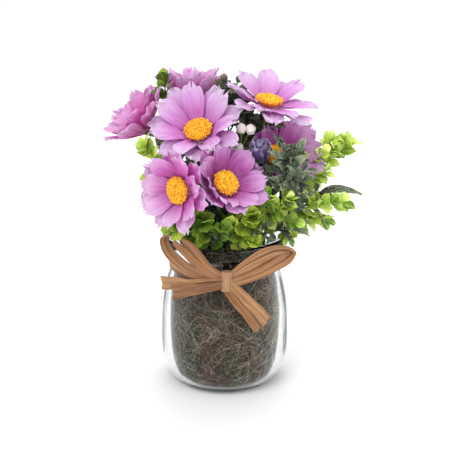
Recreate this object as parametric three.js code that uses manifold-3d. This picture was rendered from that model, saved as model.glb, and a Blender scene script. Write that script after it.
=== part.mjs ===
// Chrysanthemums in a glass jar: seven cloth blooms, leafy sprigs and small buds stand in a jar of
// dark fibre, and a raffia bow is tied round the neck. Millimetres, +Z up, +Y away from the viewer.
// The origin is the centre of the jar's flat foot.
import * as THREE from "three";
import { mergeVertices } from "three/addons/utils/BufferGeometryUtils.js";
import Module from "manifold-3d";

const wasm = await Module();
wasm.setup();

// ---- Driving dimensions -------------------------------------------------------------------

const clearance = 0.4; // gap kept between neighbouring pieces
const cloth = 0.7; // thickness of a petal, a leaf or a raffia strip

const jar = {
  height: 104,
  footRadius: 30,
  bellyRadius: 42.5,
  bellyHeight: 23, // where the rounded foot meets the side
  neckRadius: 35,
  neckHeight: 83,
  rimRadius: 41.7,
  wall: 4.6,
  neckWall: 2.4,
  floor: 3.6,
  sides: 24,
};
const fibre = { top: 90, dome: 5, sides: 16, roughness: 0.8 };
const holeDepth = 30; // how far each stem stands in the fibre
const band = { radius: 36.2, thickness: 1, from: 80.5, to: 85.5 };

const petal = { length: 25.5, width: 14, root: 6.4 };
const centre = { waist: 6.4, base: 1.5, height: 6.8, sides: 12 };
const calyx = { radius: 4.6, length: 8 };
const bloomStem = { radius: 1.35, sides: 4, steps: 6 };
const sprigStem = { radius: 0.95, sides: 3, steps: 6 };

// A bloom's hub, the way it faces, the hole its stem stands in and the radius of its yellow disc.
// The petals rise to the angle cup and end at the angle flare, stand up by lean more on the side at
// the angle leanTo, and are size times the petal's length, more by the share stretch at stretchTo.
const blooms = {
  front: {
    hub: [-16, -19.5, 176], faces: [-0.165, -0.513, 0.843], hole: [-7, -10], disc: 9.6,
    cup: 36, flare: 15, lean: 6, leanTo: 90,
    size: 1.12, stretch: 0.12, stretchTo: 120, turn: 15, seed: 1,
  },
  low_left: {
    hub: [-26, -56.5, 151.5], faces: [-0.65, -0.75, 0.11], hole: [-16, -18], disc: 9.1,
    cup: 38, flare: 40, lean: 10, leanTo: 185,
    size: 0.95, stretch: 0, stretchTo: 0, turn: -10, seed: 2,
  },
  low_right: {
    hub: [-1, -48.5, 151], faces: [0.42, -0.65, 0.64], hole: [2, -18], disc: 8.8,
    cup: 36, flare: 48, lean: 13, leanTo: 225,
    size: 0.93, stretch: 0, stretchTo: 0, turn: -17, seed: 3,
  },
  top_right: {
    hub: [28, -2.5, 189.5], faces: [0.17, -0.08, 0.98], hole: [15, 8], disc: 9.6,
    cup: 24, flare: 15, lean: 14, leanTo: 130,
    size: 1, stretch: 0.1, stretchTo: 20, turn: 17, seed: 4,
  },
  right: {
    hub: [33.5, -6, 155.5], faces: [0.38, -0.72, 0.58], hole: [16, -4], disc: 9,
    cup: 39, flare: 26, lean: 12, leanTo: 280,
    size: 0.87, stretch: 0.33, stretchTo: 0, turn: -11, seed: 5,
  },
  left: {
    hub: [-51, 1.5, 175], faces: [-0.72, -0.06, 0.69], hole: [-15, -3], disc: 8.6,
    cup: 52, flare: 46, lean: 8, leanTo: 165,
    size: 1, stretch: 0, stretchTo: 0, turn: 0, seed: 6,
  },
  back: {
    hub: [-22.5, 27, 187.5], faces: [-0.05, 0.2, 0.98], hole: [-6, 10], disc: 7.8,
    cup: 56, flare: 50, lean: 0, leanTo: 0,
    size: 1, stretch: 0, stretchTo: 0, turn: 5, seed: 7,
  },
};
const petalRows = [
  { count: 7, lift: -0.5, drop: -9, reach: 1 },
  { count: 7, lift: 0.5, drop: 3, reach: 0.94 },
];

// Sprigs: the stem's hole, its tip and the way that points. Each tier of leaves holds its place along
// the stem, the angle of its first leaf, how many leaves, their angle from level, and their length.
const sprigs = {
  ribbed_front: {
    colour: "lime", leaf: "round", hole: [9, -22], tip: [16.5, -38, 127.5],
    points: [0.1, -0.4, 0.9],
    tiers: [[0.5, 220, 2, 5, 11], [0.75, 250, 4, 14, 11], [1, 15, 4, 38, 10]],
  },
  ribbed_left: {
    colour: "leaf", leaf: "round", hole: [-7, -24], tip: [-14.5, -36.5, 124.5],
    points: [0, -0.3, 0.95],
    tiers: [[0.55, 255, 2, 10, 10], [1, 220, 4, 35, 10]],
  },
  rim_left: {
    colour: "lime", leaf: "round", hole: [-21, -14], tip: [-30, -33.5, 118.5],
    points: [-0.5, -0.5, 0.7],
    tiers: [[1, 190, 4, 15, 11]],
  },
  box_right: {
    colour: "lime", leaf: "oval", hole: [24, 3], tip: [80, 0, 163], points: [0.66, 0, 0.75],
    tiers: [[0.62, 80, 2, 35, 10], [0.75, 20, 2, 35, 11], [0.88, 60, 2, 40, 11], [1, 0, 3, 50, 12]],
  },
  box_low_right: {
    colour: "lime", leaf: "oval", hole: [24, -9], tip: [55.5, -16, 130], points: [0.5, -0.2, 0.85],
    tiers: [[0.5, 310, 2, 20, 11], [0.66, 5, 2, 20, 12], [0.83, 230, 3, 30, 12], [1, 335, 3, 45, 11]],
  },
  box_left: {
    colour: "lime", leaf: "oval", hole: [-22, -8], tip: [-50.5, -19.5, 166.5],
    points: [-0.7, -0.1, 0.7],
    tiers: [[0.82, 65, 2, 30, 10], [1, 5, 3, 45, 10]],
  },
  box_top_left: {
    colour: "leaf", leaf: "oval", hole: [-14, 5], tip: [-39.5, 10, 202.5], points: [-0.1, -0.1, 1],
    tiers: [[0.93, 355, 2, 50, 10], [1, 85, 2, 60, 11]],
  },
  box_front: {
    colour: "lime", leaf: "oval", hole: [21, -18], tip: [40, -40, 139.5], points: [0.3, -0.3, 0.9],
    tiers: [[0.55, 205, 2, 25, 11], [0.8, 25, 3, 20, 11], [1, 5, 3, 40, 11]],
  },
  frosted_right: {
    colour: "frosted", leaf: "lance", hole: [18, -14.5], tip: [45, -33, 149],
    points: [0.2, -0.1, 0.95],
    tiers: [[0.55, 195, 2, 40, 20], [0.78, 295, 3, 45, 21], [1, 115, 2, 70, 23]],
  },
  frosted_low_right: {
    colour: "frosted", leaf: "lance", hole: [26, -3], tip: [63.5, -4, 132.5],
    points: [0.85, -0.1, 0.5],
    tiers: [[0.6, 235, 1, 10, 20], [0.8, 325, 2, 25, 20], [1, 15, 1, 60, 26]],
  },
  frosted_rim: {
    colour: "frosted", leaf: "lance", hole: [16, -20], tip: [40.5, -30, 117.5],
    points: [0.7, -0.3, 0.5],
    tiers: [[0.7, 240, 2, 20, 17], [1, 345, 3, 40, 17]],
  },
  frosted_left: {
    colour: "frosted", leaf: "lance", hole: [-19, -3], tip: [-33, -24, 158],
    points: [-0.2, -0.3, 0.9],
    tiers: [[0.8, 280, 2, 30, 15], [1, 20, 2, 40, 15]],
  },
  box_back: {
    colour: "lime", leaf: "oval", hole: [14, 14], tip: [36, 38, 156], points: [0.4, 0.5, 0.75],
    tiers: [[0.66, 0, 2, 30, 12], [0.83, 90, 2, 30, 12], [1, 45, 3, 50, 12]],
  },
  ribbed_back: {
    colour: "leaf", leaf: "round", hole: [1, 22], tip: [3, 36, 128], points: [0, 0.4, 0.9],
    tiers: [[0.74, 20, 4, 15, 11], [1, 0, 4, 38, 10]],
  },
  frosted_back: {
    colour: "frosted", leaf: "lance", hole: [-14, 15], tip: [-38, 34, 146],
    points: [-0.5, 0.4, 0.75],
    tiers: [[0.6, 60, 2, 30, 20], [0.8, 0, 2, 40, 21], [1, 90, 2, 65, 22]],
  },
};
const leafKinds = {
  round: { wide: 0.95, cup: 0.2, droop: 20 },
  oval: { wide: 0.7, cup: 0.25, droop: 15 },
  lance: { wide: 0.36, cup: 0.25, droop: 40 },
};

// Small buds: each spray has a stem and round buds [x, y, z, radius] carried on short stalks.
const budSprays = {
  berries: {
    hole: [1, 7], tip: [3, 12, 192], points: [0, 0, 1], colour: "berry",
    buds: [
      [-0.4, 15, 204, 2.6], [9.4, 12, 204, 2.3], [12.6, 10, 198.9, 2.5], [4.5, 9, 197, 2.3],
      [-3.5, 12, 196, 2.8],
    ],
  },
  white_buds: {
    hole: [4, -12], tip: [11, -21.5, 170], points: [0, 0, 1], colour: "white",
    buds: [[10.7, -23.5, 181, 3.1], [16.5, -22.5, 180, 3.3], [9.5, -26.5, 169, 2.7]],
  },
};
const violetBud = {
  hole: [9, -13], tip: [21.5, -26, 160], points: [0.1, -0.25, 0.95], radius: 7.4, petals: 6,
};

// Raffia strips, each a row of stations: angle round the jar from the front, height, distance from
// the axis, width, and how far the strip is turned on to its edge.
const strips = {
  leftLoop: [
    [0, 87, 44.8, 6.5, 0], [-16, 89.3, 45.4, 6.5, 0], [-28, 91.5, 46, 9, 0],
    [-39, 96, 46.8, 8.5, 10], [-50, 101.5, 47.6, 7.5, 25], [-55, 107.5, 47.6, 6, 60],
    [-50, 112, 47.4, 5, 85], [-38, 112.5, 47, 6, 60], [-28.5, 107.5, 46.4, 9, 15],
    [-21.5, 100.5, 46, 9.5, 0], [-13.5, 93.5, 46, 8.5, 0], [0, 87, 46, 6, 0],
  ],
  rightLoop: [
    [0, 86.5, 45.2, 6, 0], [9, 91.5, 45.8, 6.5, 0], [18, 96.3, 46.2, 7.5, 0],
    [30, 101, 46.8, 9, 0], [41, 102.8, 47.6, 9, 10], [51, 102.2, 49.5, 7.5, 40],
    [58.5, 99, 51, 6.5, 80], [53, 96, 50.6, 7.5, 40], [43, 94.2, 49.6, 8.5, 5],
    [31.7, 91.2, 48.4, 8, 0], [17, 87.5, 47, 6.5, 0], [0, 84, 45.8, 5, 0],
  ],
  leftTailHigh: [
    [0, 86.6, 46, 4.5, 0], [-15.8, 84.5, 46.6, 6, 0], [-28.8, 82.1, 47.2, 7, 0],
    [-43.2, 80.3, 48, 8.5, 0], [-56.5, 77.5, 49.2, 9, 0],
  ],
  leftTailLow: [
    [0, 84.4, 46.8, 5, 0], [-15.5, 81.5, 47.4, 6.5, 0], [-28, 78.4, 48, 8, 0],
    [-43.5, 74, 49, 9.5, 0],
  ],
  rightTailHigh: [
    [2, 85.5, 46.6, 5, 0], [9, 80.6, 46.8, 6, 0], [17.7, 72.5, 47, 6.8, 0],
    [24.7, 66, 47.4, 7, 0], [35.2, 54.6, 48, 8.2, 0],
  ],
  rightTailLow: [
    [0, 84, 46, 5, 0], [4, 77.8, 46.2, 6, 0], [11.7, 69.5, 46.6, 6.5, 0],
    [19.7, 60.5, 46.8, 6.5, 0], [28, 50, 47, 6.8, 0],
  ],
};
const knot = { x: 1.3, y: -46, height: 13.5, middle: 86, halfWidth: 3.8, halfDepth: 2.3 };

// ---- Helpers ------------------------------------------------------------------------------

const radians = THREE.MathUtils.degToRad;
const { lerp } = THREE.MathUtils;
const vector = (list) => new THREE.Vector3(...list);

// A repeatable number from -1 to 1.
function wobble(seed, index) {
  const s = Math.sin(seed * 12.9898 + index * 78.233) * 43758.5453;
  return 2 * (s - Math.floor(s)) - 1;
}

// The triangles whose three corners are still apart once a blade's pointed tip is merged.
function withoutSlivers(index) {
  const kept = [];
  for (let i = 0; i < index.length; i += 3) {
    const [a, b, c] = index.subarray(i, i + 3);
    if (a !== b && b !== c && c !== a) kept.push(a, b, c);
  }
  return kept;
}

function solidFrom(geometry) {
  const bare = geometry.clone();
  bare.deleteAttribute("normal");
  bare.deleteAttribute("uv");
  const merged = mergeVertices(bare, 1e-3);
  const triVerts = new Uint32Array(withoutSlivers(merged.index.array));
  const vertProperties = new Float32Array(merged.attributes.position.array);
  const made = new wasm.Manifold(new wasm.Mesh({ numProp: 3, vertProperties, triVerts }));
  if (made.volume() >= 0) return made;
  for (let i = 0; i < triVerts.length; i += 3)
    [triVerts[i + 1], triVerts[i + 2]] = [triVerts[i + 2], triVerts[i + 1]];
  return new wasm.Manifold(new wasm.Mesh({ numProp: 3, vertProperties, triVerts }));
}

// The largest body of several solids joined; a scrap that touches nothing is dropped.
function join(solids) {
  const whole = solids.reduce((sum, next) => sum.add(next));
  return whole.decompose().sort((a, b) => b.volume() - a.volume())[0];
}

function geometryFrom(solid) {
  const mesh = solid.getMesh();
  const positions = new Float32Array(mesh.numVert * 3);
  for (let i = 0; i < mesh.numVert; i++)
    positions.set(mesh.vertProperties.subarray(i * mesh.numProp, i * mesh.numProp + 3), i * 3);
  const geometry = new THREE.BufferGeometry();
  geometry.setAttribute("position", new THREE.BufferAttribute(positions, 3));
  geometry.setIndex(new THREE.BufferAttribute(new Uint32Array(mesh.triVerts), 1));
  geometry.computeVertexNormals();
  return geometry;
}

const part = new THREE.Group();
part.name = "chrysanthemums_in_a_jar";

function addPiece(name, solid, material) {
  const mesh = new THREE.Mesh(geometryFrom(solid), material);
  mesh.name = name;
  part.add(mesh);
}

const finish = (color, roughness, extra = {}) =>
  new THREE.MeshStandardMaterial({ color, roughness, metalness: 0, ...extra });
const finishes = {
  glass: () => finish(0xe9f1ef, 0.05, { transparent: true, opacity: 0.3 }),
  fibre: () => finish(0x4a3c31, 0.95),
  raffia: () => finish(0xb9855a, 0.6),
  petal: () => finish(0xd39bdc, 0.75),
  centre: () => finish(0xf5a81c, 0.9),
  stem: () => finish(0x56702c, 0.7),
  lime: () => finish(0x9cc431, 0.5),
  leaf: () => finish(0x4f8a2a, 0.5),
  frosted: () => finish(0x6d7f66, 0.85),
  berry: () => finish(0x6c7350, 0.6),
  white: () => finish(0xe9e2d4, 0.8),
  violet: () => finish(0x5d4a94, 0.4),
};

// ---- Thin curved pieces -------------------------------------------------------------------

// A closed sheet: point(u, v) gives its middle surface and lift(u, v) the way its thickness runs.
// Both faces are split along the same diagonals, so that they never cross.
function sheet(point, lift, rows, columns) {
  const positions = [];
  const index = [];
  const across = columns.length;
  const layer = rows.length * across;
  for (const side of [0.5, -0.5])
    for (const u of rows)
      for (const v of columns)
        positions.push(...point(u, v).addScaledVector(lift(u, v), side * cloth).toArray());
  for (let i = 0; i + 1 < rows.length; i++)
    for (let j = 0; j + 1 < across; j++) {
      const a = i * across + j;
      const [b, c, d] = [a + 1, a + across, a + across + 1];
      const cut = j < (across - 1) / 2 ? [a, b, d, a, d, c] : [a, b, c, b, d, c];
      index.push(...cut);
      for (let k = 0; k < 6; k += 3)
        index.push(layer + cut[k], layer + cut[k + 2], layer + cut[k + 1]);
    }
  const border = [];
  for (let j = 0; j < across; j++) border.push(j);
  for (let i = 1; i < rows.length; i++) border.push(i * across + across - 1);
  for (let j = across - 2; j >= 0; j--) border.push((rows.length - 1) * across + j);
  for (let i = rows.length - 2; i > 0; i--) border.push(i * across);
  border.forEach((from, k) => {
    const to = border[(k + 1) % border.length];
    index.push(from, layer + to, to, from, layer + from, layer + to);
  });
  const geometry = new THREE.BufferGeometry();
  geometry.setAttribute("position", new THREE.Float32BufferAttribute(positions, 3));
  geometry.setIndex(index);
  return solidFrom(geometry);
}

// Widths along a blade, as shares of its full width.
const rise = (u, root, peak) => root + (1 - root) * Math.sin((Math.PI / 2) * (u / peak));
const round = (u, tip, peak) => tip + (1 - tip) * Math.sqrt(1 - ((u - peak) / (1 - peak)) ** 2);
const outlines = {
  petal: (u) => (u < 0.66 ? rise(u, 0.26, 0.66) : round(u, 0.5, 0.66)),
  round: (u) => (u < 0.55 ? rise(u, 0.14, 0.55) : round(u, 0.42, 0.55)),
  oval: (u) => (u < 0.5 ? rise(u, 0.18, 0.5) : Math.cos((Math.PI / 2) * (2 * u - 1))),
  lance: (u) => (u < 0.45 ? rise(u, 0.22, 0.45) : 1 - ((u - 0.45) / 0.55) ** 1.6),
};
const bladeRows = {
  petal: [0, 0.6, 1], round: [0, 0.5, 1], oval: [0, 0.55, 1], lance: [0, 0.45, 1],
};

// A petal or leaf. The frame holds its root point, out, the way it grows, up, its upper side, and
// side. Its slope above out starts at angles[0], is angles[1] at bendAt and angles[2] at the tip.
function blade(frame, shape) {
  const { angles, bendAt } = shape;
  const slope = (u) => (u < bendAt
    ? lerp(angles[0], angles[1], u / bendAt)
    : lerp(angles[1], angles[2], (u - bendAt) / (1 - bendAt)));
  const midline = (u) => {
    const steps = 12;
    const at = frame.root.clone();
    for (let k = 0; k < steps; k++) {
      const angle = slope((u * (k + 0.5)) / steps);
      at.addScaledVector(frame.out, (Math.cos(angle) * shape.length * u) / steps);
      at.addScaledVector(frame.up, (Math.sin(angle) * shape.length * u) / steps);
    }
    return at;
  };
  const turned = (u) => {
    const flat = frame.up.clone().multiplyScalar(Math.cos(slope(u)));
    flat.addScaledVector(frame.out, -Math.sin(slope(u)));
    const [c, s] = [Math.cos(shape.twist * u), Math.sin(shape.twist * u)];
    return {
      side: frame.side.clone().multiplyScalar(c).addScaledVector(flat, s),
      normal: flat.multiplyScalar(c).addScaledVector(frame.side, -s),
    };
  };
  const point = (u, v) => {
    const half = (shape.width / 2) * outlines[shape.outline](u);
    const { side, normal } = turned(u);
    return midline(u * (1 - 0.1 * u ** 5 * v * v))
      .addScaledVector(side, half * v)
      .addScaledVector(normal, shape.cup * half * Math.abs(v));
  };
  return sheet(point, (u) => turned(u).normal, bladeRows[shape.outline], [-1, 0, 1]);
}

// The axes of a bloom or stem tip: up the way it faces, right the nearest to +X.
function facing(direction) {
  const up = direction.clone().normalize();
  const right = new THREE.Vector3(1, 0, 0).addScaledVector(up, -up.x).normalize();
  return { right, up, back: new THREE.Vector3().crossVectors(up, right) };
}

// The root frame of a blade that grows from a point at an angle round those axes.
function rootFrame(root, axes, angle) {
  const out = axes.right.clone().multiplyScalar(Math.cos(angle));
  out.addScaledVector(axes.back, Math.sin(angle));
  return { root, out, up: axes.up, side: new THREE.Vector3().crossVectors(axes.up, out) };
}

// ---- Stems --------------------------------------------------------------------------------

// Straight up out of its hole, then a smooth curve to the tip, which it reaches along heading.
function stemPath(hole, tip, heading) {
  const foot = new THREE.Vector3(hole[0], hole[1], fibre.top - holeDepth);
  const mouth = foot.clone().setZ(fibre.top + fibre.dome);
  const reach = mouth.distanceTo(tip);
  const path = new THREE.CurvePath();
  path.add(new THREE.LineCurve3(foot, mouth));
  path.add(new THREE.CubicBezierCurve3(
    mouth,
    mouth.clone().add(new THREE.Vector3(0, 0, 0.4 * reach)),
    tip.clone().addScaledVector(heading, -0.2 * reach),
    tip,
  ));
  return path;
}

function tube(path, { radius, sides, steps }) {
  const section = new THREE.Shape();
  for (let k = 0; k < sides; k++) {
    const angle = (2 * Math.PI * k) / sides;
    const at = [radius * Math.cos(angle), radius * Math.sin(angle)];
    if (k) section.lineTo(...at);
    else section.moveTo(...at);
  }
  section.closePath();
  return solidFrom(new THREE.ExtrudeGeometry(section, { steps, extrudePath: path }));
}

const holes = [];
function standIn(hole, stem) {
  const radius = (stem.radius + clearance) / Math.cos(Math.PI / 4);
  const top = fibre.top + 2 * fibre.dome;
  const depth = top - (fibre.top - holeDepth - clearance);
  const drill = new THREE.CylinderGeometry(radius, radius, depth, 4);
  drill.rotateX(Math.PI / 2);
  drill.translate(hole[0], hole[1], top - depth / 2);
  holes.push(solidFrom(drill));
}

// ---- Blooms -------------------------------------------------------------------------------

function turnedOn(profile, sides, hub, axes) {
  const turned = new THREE.LatheGeometry(profile.map((p) => new THREE.Vector2(...p)), sides);
  turned.rotateX(Math.PI / 2);
  turned.applyMatrix4(new THREE.Matrix4().makeBasis(axes.right, axes.back, axes.up));
  return turned.translate(...hub.toArray());
}

function petals(bloom, axes, hub) {
  const hubDisc = turnedOn([[0, -1], [7.6, -1], [7.6, 1], [0, 1]], 10, hub, axes);
  const solids = [solidFrom(hubDisc)];
  petalRows.forEach((row, layer) => {
    for (let k = 0; k < row.count; k++) {
      const draw = (n) => wobble(bloom.seed * 10 + layer, k * 7 + n);
      const angle = radians(bloom.turn + (360 / row.count) * (k + 0.5 * layer) + 4 * draw(0));
      const lean = bloom.lean * Math.cos(angle - radians(bloom.leanTo));
      const rising = bloom.cup + lean + 3 * draw(1);
      const stretch = bloom.stretch * Math.cos(angle - radians(bloom.stretchTo));
      const reach = petal.length * row.reach * bloom.size * (1 + stretch);
      const frame = rootFrame(hub.clone(), axes, angle);
      frame.root.addScaledVector(frame.out, petal.root).addScaledVector(axes.up, row.lift);
      solids.push(blade(frame, {
        outline: "petal",
        length: reach * (1 + 0.06 * draw(3)),
        width: petal.width * (1 + 0.08 * draw(4)),
        angles: [Math.min(rising, 32), rising, bloom.flare + lean + 6 * draw(2)]
          .map((slope) => radians(slope + row.drop)),
        bendAt: 0.36,
        twist: radians(9 * draw(5)),
        cup: 0.16,
      }));
    }
  });
  return join(solids);
}

// The yellow centre: a dome on a narrow waist, grained on top.
function centreDome(bloom, axes, hub) {
  const { waist, base, height, sides } = centre;
  const profile = [
    [0, base], [waist, base], [bloom.disc, base + 3.4], [bloom.disc * 0.94, height - 2.4],
    [bloom.disc * 0.6, height - 0.6], [0, height],
  ];
  const dome = turnedOn(profile, sides, hub, axes);
  dome.deleteAttribute("normal");
  dome.deleteAttribute("uv");
  const merged = mergeVertices(dome, 1e-3);
  const at = merged.attributes.position;
  for (let i = 0; i < at.count; i++) {
    const p = new THREE.Vector3().fromBufferAttribute(at, i);
    if (p.clone().sub(hub).dot(axes.up) < base + 3.6) continue;
    p.addScaledVector(axes.up, 0.45 * wobble(bloom.seed + 20, i));
    at.setXYZ(i, p.x, p.y, p.z);
  }
  return solidFrom(merged);
}

function bloomStemSolid(bloom, axes, hub) {
  const under = -1 - clearance;
  const foot = under - calyx.length;
  const cup = turnedOn(
    [[0, under], [calyx.radius, under], [calyx.radius, under - 2], [bloomStem.radius, foot],
      [0, foot]],
    6, hub, axes,
  );
  const top = hub.clone().addScaledVector(axes.up, foot + 2);
  standIn(bloom.hole, bloomStem);
  return join([solidFrom(cup), tube(stemPath(bloom.hole, top, axes.up), bloomStem)]);
}

for (const [name, bloom] of Object.entries(blooms)) {
  const axes = facing(vector(bloom.faces));
  const hub = vector(bloom.hub);
  addPiece(`petals_${name}`, petals(bloom, axes, hub), finishes.petal());
  addPiece(`centre_${name}`, centreDome(bloom, axes, hub), finishes.centre());
  addPiece(`stem_${name}`, bloomStemSolid(bloom, axes, hub), finishes.stem());
}

// ---- Sprigs and buds ----------------------------------------------------------------------

function sprigSolid(sprig) {
  const tip = vector(sprig.tip);
  const path = stemPath(sprig.hole, tip, vector(sprig.points).normalize());
  const kind = leafKinds[sprig.leaf];
  const solids = [tube(path, sprigStem)];
  sprig.tiers.forEach(([along, first, count, splay, length], tier) => {
    const root = path.curves[1].getPointAt(along);
    const axes = facing(path.curves[1].getTangentAt(along));
    for (let k = 0; k < count; k++) {
      const draw = (n) => wobble(tip.x + tip.z + tier * 5, k * 7 + n);
      const angle = radians(first + (360 / count) * k + 10 * draw(0));
      const start = splay + 8 * draw(1);
      const reach = length * (1 + 0.12 * draw(2));
      const frame = rootFrame(root.clone(), axes, angle);
      frame.root.addScaledVector(frame.out, 0.4).addScaledVector(axes.up, -1.1 * k);
      solids.push(blade(frame, {
        outline: sprig.leaf,
        length: reach,
        width: reach * kind.wide,
        angles: [start, start - kind.droop / 3, start - kind.droop].map(radians),
        bendAt: 0.5,
        twist: radians(12 * draw(3)),
        cup: kind.cup,
      }));
    }
  });
  standIn(sprig.hole, sprigStem);
  return join(solids);
}

function ball(at, radius) {
  const shape = new THREE.OctahedronGeometry(radius, 1);
  return solidFrom(shape.translate(...at.toArray()));
}

function budSpraySolid(spray) {
  const tip = vector(spray.tip);
  const solids = [tube(stemPath(spray.hole, tip, vector(spray.points).normalize()), sprigStem)];
  for (const [x, y, z, radius] of spray.buds) {
    const bud = new THREE.Vector3(x, y, z);
    const under = tip.clone().add(new THREE.Vector3(0, 0, -2));
    const stalk = new THREE.LineCurve3(under, bud);
    solids.push(tube(stalk, { radius: 0.65, sides: 3, steps: 1 }), ball(bud, radius));
  }
  standIn(spray.hole, sprigStem);
  return join(solids);
}

// A folded bud: round in outline, with a pleat between every two petals.
function violetSolid(bud) {
  const tip = vector(bud.tip);
  const axes = facing(vector(bud.points));
  const rings = [[0, -1], [0.5, -1], [0.92, -0.45], [1, 0.15], [0.8, 0.75], [0.45, 0.95], [0, 0.8]];
  const profile = rings.map(([r, h]) => [r * bud.radius, (h + 1) * bud.radius]);
  const turned = turnedOn(profile, 2 * bud.petals, tip, axes);
  turned.deleteAttribute("normal");
  turned.deleteAttribute("uv");
  const merged = mergeVertices(turned, 1e-3);
  const at = merged.attributes.position;
  for (let i = 0; i < at.count; i++) {
    const p = new THREE.Vector3().fromBufferAttribute(at, i).sub(tip);
    const high = p.dot(axes.up);
    const flat = p.clone().addScaledVector(axes.up, -high);
    const spoke = Math.atan2(flat.dot(axes.back), flat.dot(axes.right)) * bud.petals;
    flat.multiplyScalar(Math.cos(spoke) > 0 ? 1.08 : 0.84);
    p.copy(flat).addScaledVector(axes.up, high).add(tip);
    at.setXYZ(i, p.x, p.y, p.z);
  }
  standIn(bud.hole, sprigStem);
  const stem = tube(stemPath(bud.hole, tip.clone().add(axes.up), axes.up), sprigStem);
  return join([stem, solidFrom(merged)]);
}

for (const [name, sprig] of Object.entries(sprigs))
  addPiece(`sprig_${name}`, sprigSolid(sprig), finishes[sprig.colour]());
for (const [name, spray] of Object.entries(budSprays))
  addPiece(name, budSpraySolid(spray), finishes[spray.colour]());
addPiece("violet_bud", violetSolid(violetBud), finishes.violet());

// ---- Jar and fibre ------------------------------------------------------------------------

// Points on the side between two others, bulged outwards.
const between = (from, to, bulge, count) => Array.from({ length: count }, (_, k) => {
  const t = (k + 1) / (count + 1);
  return [lerp(from[0], to[0], t) + bulge * Math.sin(Math.PI * t), lerp(from[1], to[1], t)];
});

// The rounded foot is a quarter of an ellipse, from the flat base to the belly.
const footCurve = [0.3, 0.62, 1].map((t) => {
  const angle = (Math.PI / 2) * t;
  return [
    jar.footRadius + (jar.bellyRadius - jar.footRadius) * Math.sin(angle),
    jar.bellyHeight * (1 - Math.cos(angle)),
  ];
});

const belly = [jar.bellyRadius, 40];
const neck = [jar.neckRadius, jar.neckHeight];
const side = between(belly, neck, 1.9, 2);
const outside = [
  [jar.footRadius, 0], ...footCurve, belly, ...side, neck,
  [jar.neckRadius + 1.2, jar.neckHeight + 4], [jar.rimRadius - 0.8, jar.neckHeight + 9],
  [jar.rimRadius, jar.height - 7], [jar.rimRadius - 0.5, jar.height - 1.6],
  [jar.rimRadius - 2.4, jar.height],
];
const inside = [
  [jar.rimRadius - 4, jar.height - 0.6], [jar.rimRadius - 5, jar.height - 8],
  [jar.neckRadius - jar.neckWall, jar.neckHeight + 4],
  [jar.neckRadius - jar.neckWall - 0.4, jar.neckHeight - 1],
  ...side.toReversed().map(([r, z], k) => [r - lerp(jar.neckWall, jar.wall, 0.5 + 0.3 * k), z]),
  [jar.bellyRadius - jar.wall, 40], [jar.bellyRadius - jar.wall - 0.6, 24],
  [jar.bellyRadius - 7.6, jar.floor + 7], [jar.footRadius + 1.5, jar.floor + 1],
];

function lathe(profile, sides) {
  const points = [[0, profile[0][1]], ...profile, [0, profile.at(-1)[1]]];
  const turned = new THREE.LatheGeometry(points.map((p) => new THREE.Vector2(...p)), sides);
  return turned.rotateX(Math.PI / 2);
}

function jarSolid() {
  const mouth = [[jar.rimRadius - 4, jar.height + 3], ...inside];
  return solidFrom(lathe(outside, jar.sides)).subtract(solidFrom(lathe(mouth, jar.sides)));
}

// The packed fibre fills the jar with a rough skin, and a low dome shows above the neck.
function fibreSolid() {
  const walls = inside.slice(3).map(([r, z]) => [r - clearance, z + (z < 10 ? clearance : 0)]);
  const top = [[14, fibre.top + fibre.dome], [24, fibre.top + 0.6 * fibre.dome], [30.5, fibre.top]];
  const plug = lathe([...top, ...walls], fibre.sides);
  plug.deleteAttribute("normal");
  plug.deleteAttribute("uv");
  const merged = mergeVertices(plug, 1e-3);
  const at = merged.attributes.position;
  for (let i = 0; i < at.count; i++) {
    const inward = 1 - (fibre.roughness * (1 + wobble(3, i))) / 2 / jar.neckRadius;
    at.setXY(i, at.getX(i) * inward, at.getY(i) * inward);
    if (at.getZ(i) > jar.neckHeight + 6) at.setZ(i, at.getZ(i) + wobble(4, i));
  }
  return holes.reduce((left, hole) => left.subtract(hole), solidFrom(merged));
}

addPiece("jar", jarSolid(), finishes.glass());
addPiece("fibre", fibreSolid(), finishes.fibre());

// ---- Raffia -------------------------------------------------------------------------------

// A strip through its stations, its width level with the jar's side unless it is turned.
function stripSolid(stations) {
  const last = stations.length - 1;
  const along = (column) => {
    const values = stations.map((station, k) => new THREE.Vector3(k, station[column], 0));
    return new THREE.CatmullRomCurve3(values);
  };
  const curves = [0, 1, 2, 3, 4].map(along);
  const value = (column, u) => curves[column].getPoint(u).y;
  const place = (u) => {
    const angle = radians(value(0, u));
    const radius = value(2, u);
    return new THREE.Vector3(radius * Math.sin(angle), -radius * Math.cos(angle), value(1, u));
  };
  const across = (u) => {
    const ahead = place(Math.min(1, u + 0.01)).sub(place(Math.max(0, u - 0.01))).normalize();
    const outward = place(u).setZ(0).normalize();
    const level = new THREE.Vector3().crossVectors(outward, ahead).normalize();
    const lean = radians(value(4, u));
    const width = level.multiplyScalar(Math.cos(lean)).addScaledVector(outward, Math.sin(lean));
    return { width, normal: new THREE.Vector3().crossVectors(ahead, width).normalize() };
  };
  const point = (u, v) => {
    const { width, normal } = across(u);
    return place(u)
      .addScaledVector(width, (v * value(3, u)) / 2)
      .addScaledVector(normal, 0.5 * Math.abs(v));
  };
  const rows = stations.map((_, k) => k / last);
  return sheet(point, (u) => across(u).normal, rows, [-1, 0, 1]);
}

function knotSolid() {
  const strap = new THREE.CylinderGeometry(1, 1, knot.height, 10);
  strap.rotateX(Math.PI / 2);
  strap.scale(knot.halfWidth, knot.halfDepth, 1);
  strap.translate(knot.x, knot.y, knot.middle);
  const back = -band.radius - band.thickness - clearance;
  const link = new THREE.BoxGeometry(5, back - knot.y, 4);
  link.translate(knot.x, (back + knot.y) / 2, (band.from + band.to) / 2);
  return join([solidFrom(strap), solidFrom(link)]);
}

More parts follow.
